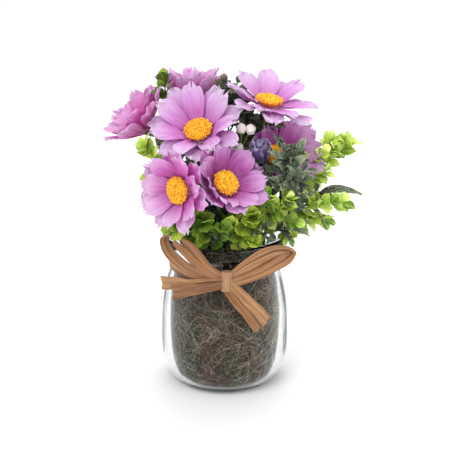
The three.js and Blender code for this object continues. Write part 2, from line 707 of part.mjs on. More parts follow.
const outer = band.radius + band.thickness;
const bandProfile = [
  [band.radius, band.from], [outer, band.from], [outer, band.to], [band.radius, band.to],
  [band.radius, band.from],
].map((p) => new THREE.Vector2(...p));
addPiece(
  "raffia_band",
  solidFrom(new THREE.LatheGeometry(bandProfile, jar.sides).rotateX(Math.PI / 2)),
  finishes.raffia(),
);
const bow = join([knotSolid(), ...Object.values(strips).map(stripSolid)]);
addPiece("raffia_bow", bow, finishes.raffia());

export default part;
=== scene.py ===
# Chrysanthemums in a glass jar. Measures are in millimetres and degrees, as in the part's own source.
import math
import random
import bpy
from mathutils import Matrix, Vector, noise


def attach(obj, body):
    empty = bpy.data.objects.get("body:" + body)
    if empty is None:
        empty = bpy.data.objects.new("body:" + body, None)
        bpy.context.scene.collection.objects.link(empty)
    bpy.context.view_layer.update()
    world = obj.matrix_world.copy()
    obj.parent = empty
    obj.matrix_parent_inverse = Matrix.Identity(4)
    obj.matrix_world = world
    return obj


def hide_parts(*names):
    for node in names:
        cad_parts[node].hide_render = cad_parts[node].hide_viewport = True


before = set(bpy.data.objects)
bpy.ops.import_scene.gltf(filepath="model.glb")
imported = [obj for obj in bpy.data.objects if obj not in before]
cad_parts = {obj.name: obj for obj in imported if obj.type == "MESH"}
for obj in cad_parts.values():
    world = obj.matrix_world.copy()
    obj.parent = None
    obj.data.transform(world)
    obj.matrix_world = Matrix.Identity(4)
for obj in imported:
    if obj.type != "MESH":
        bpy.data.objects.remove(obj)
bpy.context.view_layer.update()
mm = 0.001
fullTurn = 2 * math.pi

view = {"lift": 20, "away": 1.0, "lookAt": (0.0003, 0, 0.1075), "lens": 120.5}
lights = {  # place, width and power
    "key": ((-0.7, -1.1, 1.3), 1.1, 12),
    "fill": ((1.2, -0.9, 0.7), 0.9, 4),
    "top": ((0.1, 0.5, 1.5), 1.1, 8),
}
lightsAim = Vector((0, 0, 0.12))  # just over the jar's rim
room = {"light": 0.88, "floorWidth": 8, "floorHeight": -0.0003}


def addAimed(data, place, heading):
    thing = bpy.data.objects.new(data.name, data)
    bpy.context.collection.objects.link(thing)
    thing.location = place
    thing.rotation_euler = heading.to_track_quat("-Z", "Y").to_euler()
    return thing


def deselect():
    bpy.ops.object.select_all(action="DESELECT")


lifted = math.radians(view["lift"])
toCamera = Vector((0, -math.cos(lifted), math.sin(lifted)))
cameraData = bpy.data.cameras.new("camera")
cameraData.lens = view["lens"]
cameraData.clip_start = 0.01
bpy.context.scene.camera = addAimed(cameraData, Vector(view["lookAt"]) + toCamera * view["away"], -toCamera)

for lampName, (place, size, power) in lights.items():
    lamp = bpy.data.lights.new(lampName, "AREA")
    lamp.shape = "DISK"
    lamp.size = size
    lamp.energy = power
    addAimed(lamp, place, lightsAim - Vector(place))
world = bpy.data.worlds.new("softWhite")
bpy.context.scene.world = world
world.use_nodes = True
world.node_tree.nodes["Background"].inputs[0].default_value = (1, 1, 1, 1)
world.node_tree.nodes["Background"].inputs[1].default_value = room["light"]
bpy.context.scene.view_settings.view_transform = "Standard"

deselect()
bpy.ops.mesh.primitive_plane_add(size=room["floorWidth"], location=(0, 0, room["floorHeight"]))
floor = bpy.context.active_object
floor.name = "floor"
bpy.ops.object.transform_apply(location=True)
print("camera, floor and lights set")


def wobble(seed, index):  # a fixed draw from -1 to 1, the same as in the part's source
    s = math.sin(seed * 12.9898 + index * 78.233) * 43758.5453
    return 2 * (s - math.floor(s)) - 1


def mixed(a, b, t):
    return a + (b - a) * t


def steps(count):
    return [k / count for k in range(count + 1)]


def across(count):
    return [2 * k / count - 1 for k in range(count + 1)]


def facing(direction):
    up = Vector(direction).normalized()
    right = (Vector((1, 0, 0)) - up * up.x).normalized()
    return {"right": right, "up": up, "back": up.cross(right)}


def spoke(axes, angle):
    return axes["right"] * math.cos(angle) + axes["back"] * math.sin(angle)


# Where a petal or leaf grows from: moved outwards and upwards from the root, and heading out.
def rootFrame(root, axes, angle, outward=0.0, upward=0.0):
    out = spoke(axes, angle)
    start = root + (out * outward + axes["up"] * upward)
    return {"root": start, "out": out, "up": axes["up"], "side": axes["up"].cross(out)}


# A smooth curve through four values in a row, read between the middle two.
def through(p, t):
    return 0.5 * (2 * p[1] + (p[2] - p[0]) * t + (2 * p[0] - 5 * p[1] + 4 * p[2] - p[3]) * t ** 2
                  + (3 * p[1] - p[0] - 3 * p[2] + p[3]) * t ** 3)


def neighbours(points, i):
    return [points[max(0, min(len(points) - 1, i + k))] for k in (-1, 0, 1, 2)]


# A heap gathers petals, leaves and stalks that end up in one mesh.
def newHeap():
    return {"points": [], "faces": [], "uv": [], "tone": [], "stalk": []}


def addPoints(heap, points, uvs, tone, stalk=0.0):
    start = len(heap["points"])
    heap["points"].extend(points)
    heap["uv"].extend(uvs)
    heap["tone"].extend([tone] * len(points))
    heap["stalk"].extend([stalk] * len(points))
    return start


# A closed thin sheet: two layers of rows by columns, joined round the border.
def addSheet(heap, point, lift, rows, columns, thick, tone):
    spots = [(side * thick, u, v) for side in (0.5, -0.5) for u in rows for v in columns]
    start = addPoints(heap, [point(u, v) + lift(u, v) * height for height, u, v in spots],
                      [((v + 1) / 2, u) for height, u, v in spots], tone)
    width, last = len(columns), len(rows) - 1
    layer = len(rows) * width
    for i in range(last):
        for j in range(width - 1):
            a = start + i * width + j
            b = a + layer
            heap["faces"].append((a, a + 1, a + width + 1, a + width))
            heap["faces"].append((b, b + width, b + width + 1, b + 1))
    border = [*range(width), *(i * width + width - 1 for i in range(1, last + 1)),
              *(last * width + j for j in range(width - 2, -1, -1)),
              *(i * width for i in range(last - 1, 0, -1))]
    for k, a in enumerate(border):
        b = border[(k + 1) % len(border)]
        heap["faces"].append((start + b, start + a, start + layer + a, start + layer + b))


# A skin over rings of points, closed at both ends.
def addRings(heap, rings, tone, stalk=0.0, uvScale=(1, 1)):
    sides, last = len(rings[0]), len(rings) - 1
    uvs = [(j / sides * uvScale[0], k / last * uvScale[1]) for k in range(last + 1) for j in range(sides)]
    start = addPoints(heap, [p for ring in rings for p in ring], uvs, tone, stalk)
    for k in range(last):
        for j in range(sides):
            a, b = start + k * sides + j, start + k * sides + (j + 1) % sides
            heap["faces"].append((a, b, b + sides, a + sides))
    end = start + last * sides
    heap["faces"].append(tuple(range(start + sides - 1, start - 1, -1)))
    heap["faces"].append(tuple(range(end, end + sides)))


def addTube(heap, path, radii, sides, tone, stalk=1.0):
    rings, last, normal = [], len(path) - 1, Vector((1, 0, 0))
    for k, at in enumerate(path):
        ahead = (path[min(last, k + 1)] - path[max(0, k - 1)]).normalized()
        normal = (normal - ahead * normal.dot(ahead)).normalized()
        axes = {"right": normal, "back": ahead.cross(normal)}
        rings.append([at + spoke(axes, fullTurn * j / sides) * radii[k] for j in range(sides)])
    addRings(heap, rings, tone, stalk)


def addTurned(heap, profile, sides, hub, axes, tone):
    addRings(heap, [[hub + spoke(axes, fullTurn * j / sides) * radius + axes["up"] * height
                     for j in range(sides)] for radius, height in profile], tone)


def ballForm(subdivisions):  # a ball added once and copied for every bud, berry and floret
    deselect()
    bpy.ops.mesh.primitive_ico_sphere_add(subdivisions=subdivisions, radius=1)
    ball = bpy.context.active_object
    form = ([v.co.copy() for v in ball.data.vertices], [tuple(p.vertices) for p in ball.data.polygons])
    bpy.data.objects.remove(ball)
    return form


def addBall(heap, form, matrix, tone, rough, seed):
    corners, faces = form
    points = [matrix @ (p * (1 + rough * wobble(seed, i))) for i, p in enumerate(corners)]
    start = addPoints(heap, points, [(0.5 + p.x / 2, 0.5 + p.z / 2) for p in corners], tone)
    heap["faces"].extend(tuple(start + i for i in face) for face in faces)


def rise(u, root, peak):
    return root + (1 - root) * math.sin((math.pi / 2) * (u / peak))


def rounded(u, tip, peak):
    return tip + (1 - tip) * math.sqrt(max(0, 1 - ((u - peak) / (1 - peak)) ** 2))


outlines = {  # the share of its width that a blade has at u, from 0 at the root to 1 at the tip
    "petal": lambda u: rise(u, 0.24, 0.6) if u < 0.6 else rounded(u, 0.34, 0.6),
    "round": lambda u: rise(u, 0.14, 0.55) if u < 0.55 else rounded(u, 0.3, 0.55),
    "oval": lambda u: max(0.08, rise(u, 0.18, 0.5) if u < 0.5
                          else math.cos((math.pi / 2) * (2 * u - 1)) ** 0.8 if u < 1 else 0.08),
    "lance": lambda u: max(0.05, rise(u, 0.22, 0.45) if u < 0.45
                           else 1 - ((u - 0.45) / 0.55) ** 1.6),
}
midlineParts = 12


# A petal or leaf of cells rows and columns that grows from its root frame. The three angles are its
# slope at the root, at bendAt and at the tip. Ripple waves its edges, crumple creases it, ribs furrow
# it lengthwise, and teeth notch its tip.
def addBlade(heap, place, outline, cells, thick, tone, length, width, angles, bendAt=0.5, twist=0.0,
             cup=0.2, ripple=0.0, crumple=0.0, ribs=0.0, teeth=0.0, seed=0):
    def slope(u):
        if u < bendAt:
            return mixed(angles[0], angles[1], u / bendAt)
        return mixed(angles[1], angles[2], (u - bendAt) / (1 - bendAt))

    def midline(u):
        at = place["root"].copy()
        for k in range(midlineParts):
            angle = slope((u * (k + 0.5)) / midlineParts)
            at += place["out"] * (math.cos(angle) * length * u / midlineParts)
            at += place["up"] * (math.sin(angle) * length * u / midlineParts)
        return at

    def turned(u):
        flat = place["up"] * math.cos(slope(u)) - place["out"] * math.sin(slope(u))
        c, s = math.cos(twist * u), math.sin(twist * u)
        return place["side"] * c + flat * s, flat * c - place["side"] * s

    def point(u, v):
        half = width / 2 * outlines[outline](u)
        side, normal = turned(u)
        notch = teeth * u ** 7 * abs(math.sin(math.pi * (1.4 * v + 0.5 * wobble(seed, 3)))) ** 1.6
        along = u * (1 - 0.1 * u ** 5 * v * v - notch)
        fold = cup * half * (0.35 * abs(v) + 0.65 * v * v)
        wave = ripple * abs(v) ** 1.5 * math.sin(7.5 * u + 5 * wobble(seed, 1) + (2 if v > 0 else 0))
        furrow = ribs * math.cos(math.pi * 3.5 * v) * math.sin(math.pi * min(1, u + 0.12))
        curl = ripple * 1.2 * u ** 4 * math.sin(4.2 * v + 6 * wobble(seed, 2))
        crease = crumple * min(1, 3 * u) * (noise.noise(Vector((seed * 3.7, 3.1 * u, 2.2 * v)))
                                            + 0.5 * noise.noise(Vector((seed * 5.3, 5 * u, 7 * v))))
        return midline(along) + side * (half * v) + normal * (fold + wave + furrow + curl + crease)

    addSheet(heap, point, lambda u, v: turned(u)[1], steps(cells[0]), across(cells[1]), thick, tone)


def finishPiece(piece, finish, slotName, *nodes, smooth=50):
    deselect()
    piece.select_set(True)
    bpy.context.view_layer.objects.active = piece
    bpy.ops.object.transform_apply(location=True, rotation=True, scale=True)
    bpy.ops.object.shade_smooth_by_angle(angle=math.radians(smooth))
    piece.data.materials.clear()
    piece.data.materials.append(finish.material)
    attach(piece, "root")
    if nodes:
        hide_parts(*nodes)


def makePiece(name, heap, finish, slotName, *nodes, smooth=50):
    mesh = bpy.data.meshes.new(name)
    mesh.from_pydata([tuple(p * mm) for p in heap["points"]], [], heap["faces"])
    grown = mesh.uv_layers.new(name="grown")
    corners = [0] * len(mesh.loops)
    mesh.loops.foreach_get("vertex_index", corners)
    grown.data.foreach_set("uv", [c for i in corners for c in heap["uv"][i]])
    for label in ("tone", "stalk"):
        mesh.attributes.new(label, "FLOAT", "POINT").data.foreach_set("value", heap[label])
    piece = bpy.data.objects.new(name, mesh)
    bpy.context.collection.objects.link(piece)
    finishPiece(piece, finish, slotName, *nodes, smooth=smooth)


def colour(red, green, blue):
    return tuple((c / 255) ** 2.2 for c in (red, green, blue)) + (1,)


def mixShade(a, b, t):
    return tuple(mixed(x, y, t) for x, y in zip(a, b))


black, white = (0, 0, 0, 1), (1, 1, 1, 1)


# A material's nodes. Patterns read the grown UV map, which runs across a blade and from its root to
# its tip, the attributes tone and stalk, or the place on the piece.
class Finish:
    def __init__(self, name, roughness, constants={}):
        self.material = bpy.data.materials.new(name)
        self.material.use_nodes = True
        self.tree = self.material.node_tree
        self.shader = self.tree.nodes["Principled BSDF"]
        for label, value in {"Roughness": roughness, **constants}.items():
            self.shader.inputs[label].default_value = value

    def node(self, kind, inputs={}, **settings):
        made = self.tree.nodes.new("ShaderNode" + kind)
        for label, value in settings.items():
            setattr(made, label, value)
        for label, value in inputs.items():
            if isinstance(value, bpy.types.NodeSocket):
                self.tree.links.new(value, made.inputs[label])
            else:
                made.inputs[label].default_value = value
        return made

    def paint(self, output):
        self.tree.links.new(output, self.shader.inputs["Base Color"])

    def bump(self, height, distance, strength):
        made = self.node("Bump", {"Height": height, "Distance": distance, "Strength": strength})
        self.tree.links.new(made.outputs[0], self.shader.inputs["Normal"])

    def attribute(self, label):
        return self.node("Attribute", attribute_name=label).outputs["Fac"]

    def math(self, operation, a, b=0.0):
        return self.node("Math", {0: a, 1: b}, operation=operation).outputs[0]

    def sum(self, *parts):  # pairs of an output and its weight
        weighted = [part if weight == 1 else self.math("MULTIPLY", part, weight) for part, weight in parts]
        total = weighted[0]
        for part in weighted[1:]:
            total = self.math("ADD", total, part)
        return total

    def mix(self, factor, a, b):
        return self.node("Mix", {0: factor, 6: a, 7: b}, data_type="RGBA").outputs[2]

    def ramp(self, factor, *stops):  # pairs of a position and a colour, plain or linear
        made = self.node("ValToRGB", {0: factor})
        elements = made.color_ramp.elements
        while len(elements) < len(stops):
            elements.new(0.5)
        for element, (position, shade) in zip(elements, stops):
            element.position = position
            element.color = shade if len(shade) == 4 else colour(*shade)
        return made.outputs[0]

    def grown(self, scale=None):
        uv = self.node("UVMap", uv_map="grown").outputs[0]
        return self.node("Mapping", {"Vector": uv, "Scale": scale}).outputs[0] if scale else uv

    def onPiece(self, scale=(1, 1, 1)):
        where = self.node("TexCoord").outputs["Object"]
        return self.node("Mapping", {"Vector": where, "Scale": scale}).outputs[0]

    def noise(self, vector, scale=1.0, detail=3.0, roughness=0.5):
        inputs = {"Vector": vector, "Scale": scale, "Detail": detail, "Roughness": roughness}
        return self.node("TexNoise", inputs).outputs[0]

    def fromRoot(self):
        return self.node("SeparateXYZ", {0: self.grown()}).outputs[1]

    def fromMiddle(self):
        u = self.node("SeparateXYZ", {0: self.grown()}).outputs[0]
        return self.math("MULTIPLY", self.math("ABSOLUTE", self.math("SUBTRACT", u, 0.5)), 2.0)


def petalCloth(name, root, middle, tip):
    f = Finish(name, 0.62, {
        "Sheen Weight": 0.1, "Sheen Roughness": 0.5, "Specular IOR Level": 0.3,
        "Subsurface Weight": 0.3, "Subsurface Scale": 0.003, "Subsurface Radius": (1, 0.5, 0.8),
    })
    streaks = f.noise(f.grown((16, 1.1, 1)), 1.0, 4.0, 0.6)
    drift = f.math("SUBTRACT", streaks, 0.5)
    along = f.sum((f.fromRoot(), 1), (drift, 0.75), (f.attribute("tone"), 0.2))
    body = f.ramp(along, (0.2, root), (0.46, middle), (0.7, mixShade(middle, tip, 0.5)), (0.98, tip))
    blotch = f.noise(f.onPiece(), 160, 2.0)
    f.paint(f.mix(f.math("MULTIPLY", blotch, 0.22), body, mixShade(tip, white, 0.25)))
    weave = f.noise(f.grown((70, 60, 1)), 1.0, 1.0)
    f.bump(f.sum((streaks, 1), (weave, 0.25)), 0.0009, 0.45)
    return f


# Leaves darken towards the root, and get a pale midrib, pale ribs and a speckled frost near the edge.
def leafPlastic(name, deep, fresh, pale, roughness, ribs=0.0, frost=0.0):
    deep, fresh, pale = colour(*deep), colour(*fresh), colour(*pale)
    f = Finish(name, roughness, {
        "Coat Weight": 0.06, "Coat Roughness": 0.3, "Specular IOR Level": 0.35,
        "Subsurface Weight": 0.1, "Subsurface Scale": 0.002,
    })
    blotch = f.noise(f.onPiece(), 190)
    base = f.sum((f.fromRoot(), 0.55), (blotch, 0.45), (f.attribute("tone"), 0.36))
    body = f.ramp(base, (0.22, deep), (0.6, fresh), (0.95, pale))
    vein = f.math("LESS_THAN", f.fromMiddle(), 0.07)
    body = f.mix(f.math("MULTIPLY", vein, 0.45), body, pale)
    if frost:
        speck = f.ramp(f.noise(f.onPiece(), 900, 3.0, 0.7), (0.5, black), (0.62, white))
        edge = f.math("ADD", f.math("MULTIPLY", f.fromMiddle(), 0.6), 0.25)
        frosting = f.math("MULTIPLY", f.math("MULTIPLY", speck, edge), frost)
        body = f.mix(frosting, body, colour(200, 208, 190))
    grain = f.noise(f.onPiece(), 1200, 2.0)
    if ribs:
        wave = f.node("TexWave", {"Vector": f.grown((1, 1, 1)), "Scale": 1.8, "Distortion": 1.5},
                      bands_direction="X").outputs[1]
        body = f.mix(f.math("MULTIPLY", wave, 0.35), body, pale)
        grain = f.sum((wave, ribs), (grain, 0.3))
    f.paint(f.mix(f.attribute("stalk"), body, f.mix(0.5, deep, fresh)))
    f.bump(grain, 0.0008, 0.7)
    return f


def discYellow():
    f = Finish("discYellow", 0.85, {"Sheen Weight": 0.2, "Subsurface Weight": 0.1, "Subsurface Scale": 0.001})
    fine = f.noise(f.onPiece(), 700)
    f.paint(f.ramp(f.sum((f.attribute("tone"), 0.6), (fine, 0.45)), (0.05, (170, 70, 8)),
                   (0.2, (232, 140, 6)), (0.42, (248, 180, 10)), (0.9, (255, 214, 44))))
    f.bump(fine, 0.0005, 0.7)
    return f


def stemGreen():
    f = Finish("stemGreen", 0.55)
    patch = f.noise(f.onPiece((1, 1, 0.25)), 260)
    f.paint(f.ramp(patch, (0.3, (48, 66, 24)), (0.7, (104, 128, 54))))
    f.bump(f.noise(f.onPiece((4, 4, 0.4)), 400, 2.0), 0.0004, 0.5)
    return f


def budSkin(name, dark, light, roughness):
    f = Finish(name, roughness, {"Subsurface Weight": 0.1, "Subsurface Scale": 0.001})
    spots = f.noise(f.onPiece(), 650, 3.0, 0.6)
    body = f.ramp(f.sum((spots, 0.4), (f.attribute("tone"), 0.8)), (0.1, dark), (0.9, light))
    f.paint(f.mix(f.attribute("stalk"), body, colour(92, 112, 52)))
    f.bump(spots, 0.0006, 0.8)
    return f


def violetCloth():
    f = Finish("violetCloth", 0.4, {"Sheen Weight": 0.4, "Sheen Roughness": 0.4})
    folds = f.noise(f.grown((9, 2, 1)))
    # Paler towards the tips: partly the petals' own pale rim, partly painted highlight on their edges.
    along = f.sum((f.fromRoot(), 1), (f.math("SUBTRACT", folds, 0.5), 0.6))
    body = f.ramp(along, (0.1, (22, 14, 34)), (0.5, (48, 32, 70)), (0.82, (78, 58, 108)),
                  (1.0, (160, 144, 180)))
    f.paint(f.mix(f.attribute("stalk"), body, colour(60, 78, 40)))
    f.bump(folds, 0.0009, 0.8)
    return f


def raffiaStraw():
    f = Finish("raffiaStraw", 0.48, {"Sheen Weight": 0.15, "Coat Weight": 0.1, "Coat Roughness": 0.4})
    fine = f.noise(f.grown((38, 1.6, 1)), 1.0, 4.0, 0.65)
    broad = f.noise(f.grown((5, 1.2, 1)), 1.0, 2.0)
    # The streaks that shape the bump also set the colour: the straw's own streaks, with painted shade in the
    # creases and painted highlight on the ridges.
    shade = f.sum((fine, 0.65), (broad, 0.35), (f.attribute("tone"), 0.1))
    f.paint(f.ramp(shade, (0.33, (84, 48, 24)), (0.48, (168, 114, 66)),
                   (0.64, (226, 182, 134))))
    f.bump(shade, 0.0012, 1.0)
    return f


def jarGlass():
    f = Finish("jarGlass", 0.02, {
        "Base Color": (0.87, 0.875, 0.885, 1), "Transmission Weight": 1.0, "IOR": 1.45,
        "Specular Tint": (0.25, 0.25, 0.25, 1),
    })
    f.bump(f.noise(f.onPiece((1, 1, 0.3)), 70, 2.0), 0.0006, 0.3)
    return f


def coirStrands():  # brown threads with greener patches and a few nearly white ones
    f = Finish("coirStrands", 0.7)
    shade = f.sum((f.attribute("tone"), 0.8), (f.noise(f.onPiece(), 300, 2.0), 0.2))
    brown = f.ramp(shade, (0.05, (27, 18, 14)), (0.45, (106, 80, 62)),
                   (0.74, (172, 140, 110)), (0.88, (255, 240, 212)))
    green = f.ramp(shade, (0.05, (22, 24, 14)), (0.45, (84, 90, 60)),
                   (0.74, (148, 146, 112)), (0.88, (255, 248, 218)))
    patch = f.ramp(f.noise(f.onPiece(), 60, 2.0), (0.42, black), (0.62, white))
    f.paint(f.mix(patch, brown, green))
    f.bump(f.noise(f.onPiece(), 1500, 2.0), 0.0003, 0.6)
    return f


def coirPlug():
    f = Finish("coirPlug", 0.95)
    mat = f.noise(f.onPiece((1, 1, 0.6)), 240, 6.0, 0.75)
    f.paint(f.ramp(mat, (0.35, (22, 16, 12)), (0.6, (60, 48, 38)), (0.75, (84, 80, 58))))
    f.bump(mat, 0.003, 1.0)
    return f


def paleFloor():
    f = Finish("paleFloor", 0.6)
    f.paint(f.ramp(f.noise(f.onPiece(), 3, 2.0), (0.3, (0.95, 0.95, 0.95, 1)), (0.7, (0.97, 0.97, 0.97, 1))))
    return f


floor.data.materials.append(paleFloor().material)
cloths = {  # colours at a petal's root, middle and tip
    "pale": petalCloth("petalLilac", colour(186, 84, 174), colour(194, 124, 194), colour(212, 182, 218)),
    "pink": petalCloth("petalPink", colour(180, 36, 148), colour(190, 86, 174), colour(218, 176, 218)),
    # The deep cloth is the pink one darkened as painted shade, for blooms that lie under others.
    "deep": petalCloth("petalShadedMagenta", colour(138, 12, 112), colour(154, 46, 138), colour(206, 154, 206)),
    "vivid": petalCloth("petalVivid", colour(168, 16, 116), colour(190, 72, 160), colour(214, 158, 208)),
}
yellow = discYellow()
green = stemGreen()
leafFinishes = {  # colours from dark to pale, roughness, ribs and frost
    "lime": leafPlastic("leafLime", (52, 84, 10), (140, 184, 34), (214, 234, 96), 0.4, 1.0),
    "spring": leafPlastic("leafSpring", (100, 138, 36), (194, 226, 90), (244, 252, 156), 0.42),
    "leaf": leafPlastic("leafGreen", (26, 56, 12), (84, 134, 26), (156, 192, 70), 0.4, 1.0),
    # The dark leaves are a leaf green darkened as painted shade, for the leaves in the gaps between blooms.
    "dark": leafPlastic("leafShadedOlive", (22, 30, 22), (50, 66, 42), (104, 118, 84), 0.55, 0.0, 0.5),
    "frosted": leafPlastic("leafFrosted", (34, 46, 32), (76, 94, 66), (140, 152, 122), 0.7, 0.0, 0.85),
}
print("materials made")

clearance = 0.4  # gap kept between neighbouring pieces
fibre = {"top": 90, "dome": 5}
holeDepth = 30  # how far each stem stands in the fibre


def curveSteps(a, b, c, d, count=200):
    points = []
    for k in range(count + 1):
        t = k / count
        s = 1 - t
        points.append(a * s ** 3 + b * (3 * s * s * t) + c * (3 * s * t * t) + d * t ** 3)
    return points


# The same stem curve as the solid's: straight out of its hole, then to the tip. The second result
# gives the place and the heading at a share of the curve's length.
def stemCurve(hole, tip, heading):
    foot = Vector((hole[0], hole[1], fibre["top"] - holeDepth))
    mouth = Vector((hole[0], hole[1], fibre["top"] + fibre["dome"]))
    reach = (tip - mouth).length
    bent = curveSteps(mouth, mouth + Vector((0, 0, 0.4 * reach)), tip - heading * (0.2 * reach), tip)
    lengths = [0.0]
    for a, b in zip(bent, bent[1:]):
        lengths.append(lengths[-1] + (b - a).length)

    def at(share):
        want = share * lengths[-1]
        k = next((i for i, value in enumerate(lengths) if value >= want), len(bent) - 1)
        if k == 0:
            return bent[0].copy(), (bent[1] - bent[0]).normalized()
        part = (want - lengths[k - 1]) / (lengths[k] - lengths[k - 1])
        low, high = max(0, k - 2), min(len(bent) - 1, k + 1)
        return bent[k - 1].lerp(bent[k], part), (bent[high] - bent[low]).normalized()

    return foot, at


def addStem(heap, hole, tip, heading, count, radius, shares, sides=7):  # shares of the radius at its ends
    foot, at = stemCurve(hole, tip, heading)
    path = [foot] + [at(k / count)[0] for k in range(count + 1)]
    addTube(heap, path, [radius * mixed(*shares, k / (count + 1)) for k in range(count + 2)], sides, 0.0)
    return at


# A bloom's hub, the way it faces, the hole its stem stands in and the radius of its yellow disc.
# The petals rise to the angle cup and end at the angle flare, stand up by lean more on the side at
# the angle leanTo, and are size times the petal's length, more by the share stretch at stretchTo.
# Their colour darkens with painted shade towards a shade angle, and they are longer than the solid's towards
# tallerTo.
blooms = {
    "front": {
        "hub": (-16, -19.5, 176), "faces": (-0.165, -0.513, 0.843), "hole": (-7, -10), "disc": 9.6,
        "cloth": "pale",
        "cup": 36, "flare": 15, "lean": 6, "leanTo": 90, "size": 1.12, "stretch": 0.12, "stretchTo": 120,
        "turn": 15, "seed": 1,
    },
    "low_left": {
        "hub": (-26, -56.5, 151.5), "faces": (-0.65, -0.75, 0.11), "hole": (-16, -18), "disc": 9.1,
        "cloth": "pink",
        "cup": 38, "flare": 40, "lean": 10, "leanTo": 185, "size": 0.95, "stretch": 0, "stretchTo": 0,
        "turn": -10, "seed": 2, "deeperTo": 50,
    },
    "low_right": {
        "hub": (-1, -48.5, 151), "faces": (0.42, -0.65, 0.64), "hole": (2, -18), "disc": 8.8, "cloth": "deep",
        "cup": 36, "flare": 48, "lean": 13, "leanTo": 225, "size": 0.93, "stretch": 0, "stretchTo": 0,
        "turn": -17, "seed": 3, "deeperTo": 115,
    },
    "top_right": {
        "hub": (28, -2.5, 189.5), "faces": (0.17, -0.08, 0.98), "hole": (15, 8), "disc": 9.6, "cloth": "pale",
        "cup": 24, "flare": 15, "lean": 14, "leanTo": 130, "size": 1, "stretch": 0.1, "stretchTo": 20,
        "turn": 17, "seed": 4, "tallerTo": 110,
    },
    "right": {
        "hub": (33.5, -6, 155.5), "faces": (0.38, -0.72, 0.58), "hole": (16, -4), "disc": 9, "cloth": "deep",
        "cup": 39, "flare": 26, "lean": 12, "leanTo": 280, "size": 0.87, "stretch": 0.33, "stretchTo": 0,
        "turn": -11, "seed": 5, "deeperTo": 160,
    },
    "left": {
        "hub": (-51, 1.5, 175), "faces": (-0.72, -0.06, 0.69), "hole": (-15, -3), "disc": 8.6,
        "cloth": "vivid",
        "cup": 52, "flare": 46, "lean": 8, "leanTo": 165, "size": 1, "stretch": 0, "stretchTo": 0, "turn": 0,
        "seed": 6, "deeperTo": 330,
    },
    "back": {
        "hub": (-22.5, 27, 187.5), "faces": (-0.05, 0.2, 0.98), "hole": (-6, 10), "disc": 7.8,
        "cloth": "pink",
        "cup": 56, "flare": 50, "lean": 0, "leanTo": 0, "size": 1, "stretch": 0, "stretchTo": 0, "turn": 5,
        "seed": 7,
    },
}
petal = {
    "length": 25.5, "width": 14, "root": 6.4, "thick": 0.32, "cells": (18, 16), "steepest": 32,
    "twist": 9, "ripple": 0.7, "teeth": 0.14, "paintedShade": 0.9, "taller": 0.16,
    "shape": {"bendAt": 0.36, "cup": 0.16, "crumple": 1.1, "ribs": 0.13},
}
petalRows = [
    {"count": 7, "lift": -0.5, "drop": -9, "reach": 1},
    {"count": 7, "lift": 0.5, "drop": 3, "reach": 0.94},
]
hubDisc = {"sides": 28, "profile": [(3, -1), (7.4, -1), (7.6, -0.6), (7.6, 0.6), (7.2, 1), (3, 1)]}
centre = {"waist": 6.4, "base": 1.5, "height": 6.8, "shoulder": 3.6, "sides": 30}
floret = {"count": 190, "turn": 137.508, "radius": 0.62, "rough": 0.18}
calyx = {"radius": 4.6, "length": 8, "sides": 20, "leaves": 9, "leafLength": 6.2, "leafWidth": 2.6}
bloomStem = {"radius": 1.35, "sides": 10}
ballSmall = ballForm(1)
ballFine = ballForm(3)


def bloomPetals(name, bloom, hub, axes):
    heap = newHeap()
    addTurned(heap, hubDisc["profile"], hubDisc["sides"], hub, axes, -1.0)
    for layer, row in enumerate(petalRows):
        seed = bloom["seed"] * 10 + layer
        for k in range(row["count"]):
            draw = lambda n: wobble(seed, k * 7 + n)
            angle = math.radians(bloom["turn"] + 360 / row["count"] * (k + 0.5 * layer) + 4 * draw(0))
            toward = lambda side: math.cos(angle - math.radians(side))
            lean = bloom["lean"] * toward(bloom["leanTo"])
            rising = bloom["cup"] + lean + 3 * draw(1)
            share = bloom["size"] * (1 + bloom["stretch"] * toward(bloom["stretchTo"]))
            if "tallerTo" in bloom:
                share *= 1 + petal["taller"] * max(0, toward(bloom["tallerTo"]))
            # Petals that point towards the shade angle get a lower tone: painted shade on the bloom's shaded
            # side.
            paintedShade = petal["paintedShade"] * toward(bloom["deeperTo"]) if "deeperTo" in bloom else 0
            slopes = (min(rising, petal["steepest"]), rising, bloom["flare"] + lean + 6 * draw(2))
            addBlade(heap, rootFrame(hub, axes, angle, petal["root"], row["lift"]), "petal", petal["cells"],
                     petal["thick"], 0.5 * draw(6) - paintedShade,
                     length=petal["length"] * row["reach"] * share * (1 + 0.06 * draw(3)),
                     width=petal["width"] * (1 + 0.08 * draw(4)),
                     angles=[math.radians(a + row["drop"]) for a in slopes],
                     twist=math.radians(petal["twist"] * draw(5)),
                     ripple=petal["ripple"] * (1 + 0.5 * draw(6)),
                     teeth=petal["teeth"] * (1 + 0.5 * draw(7)), seed=seed + 31 * k, **petal["shape"])
    makePiece("clothPetals_" + name, heap, cloths[bloom["cloth"]], "petal", "petals_" + name)


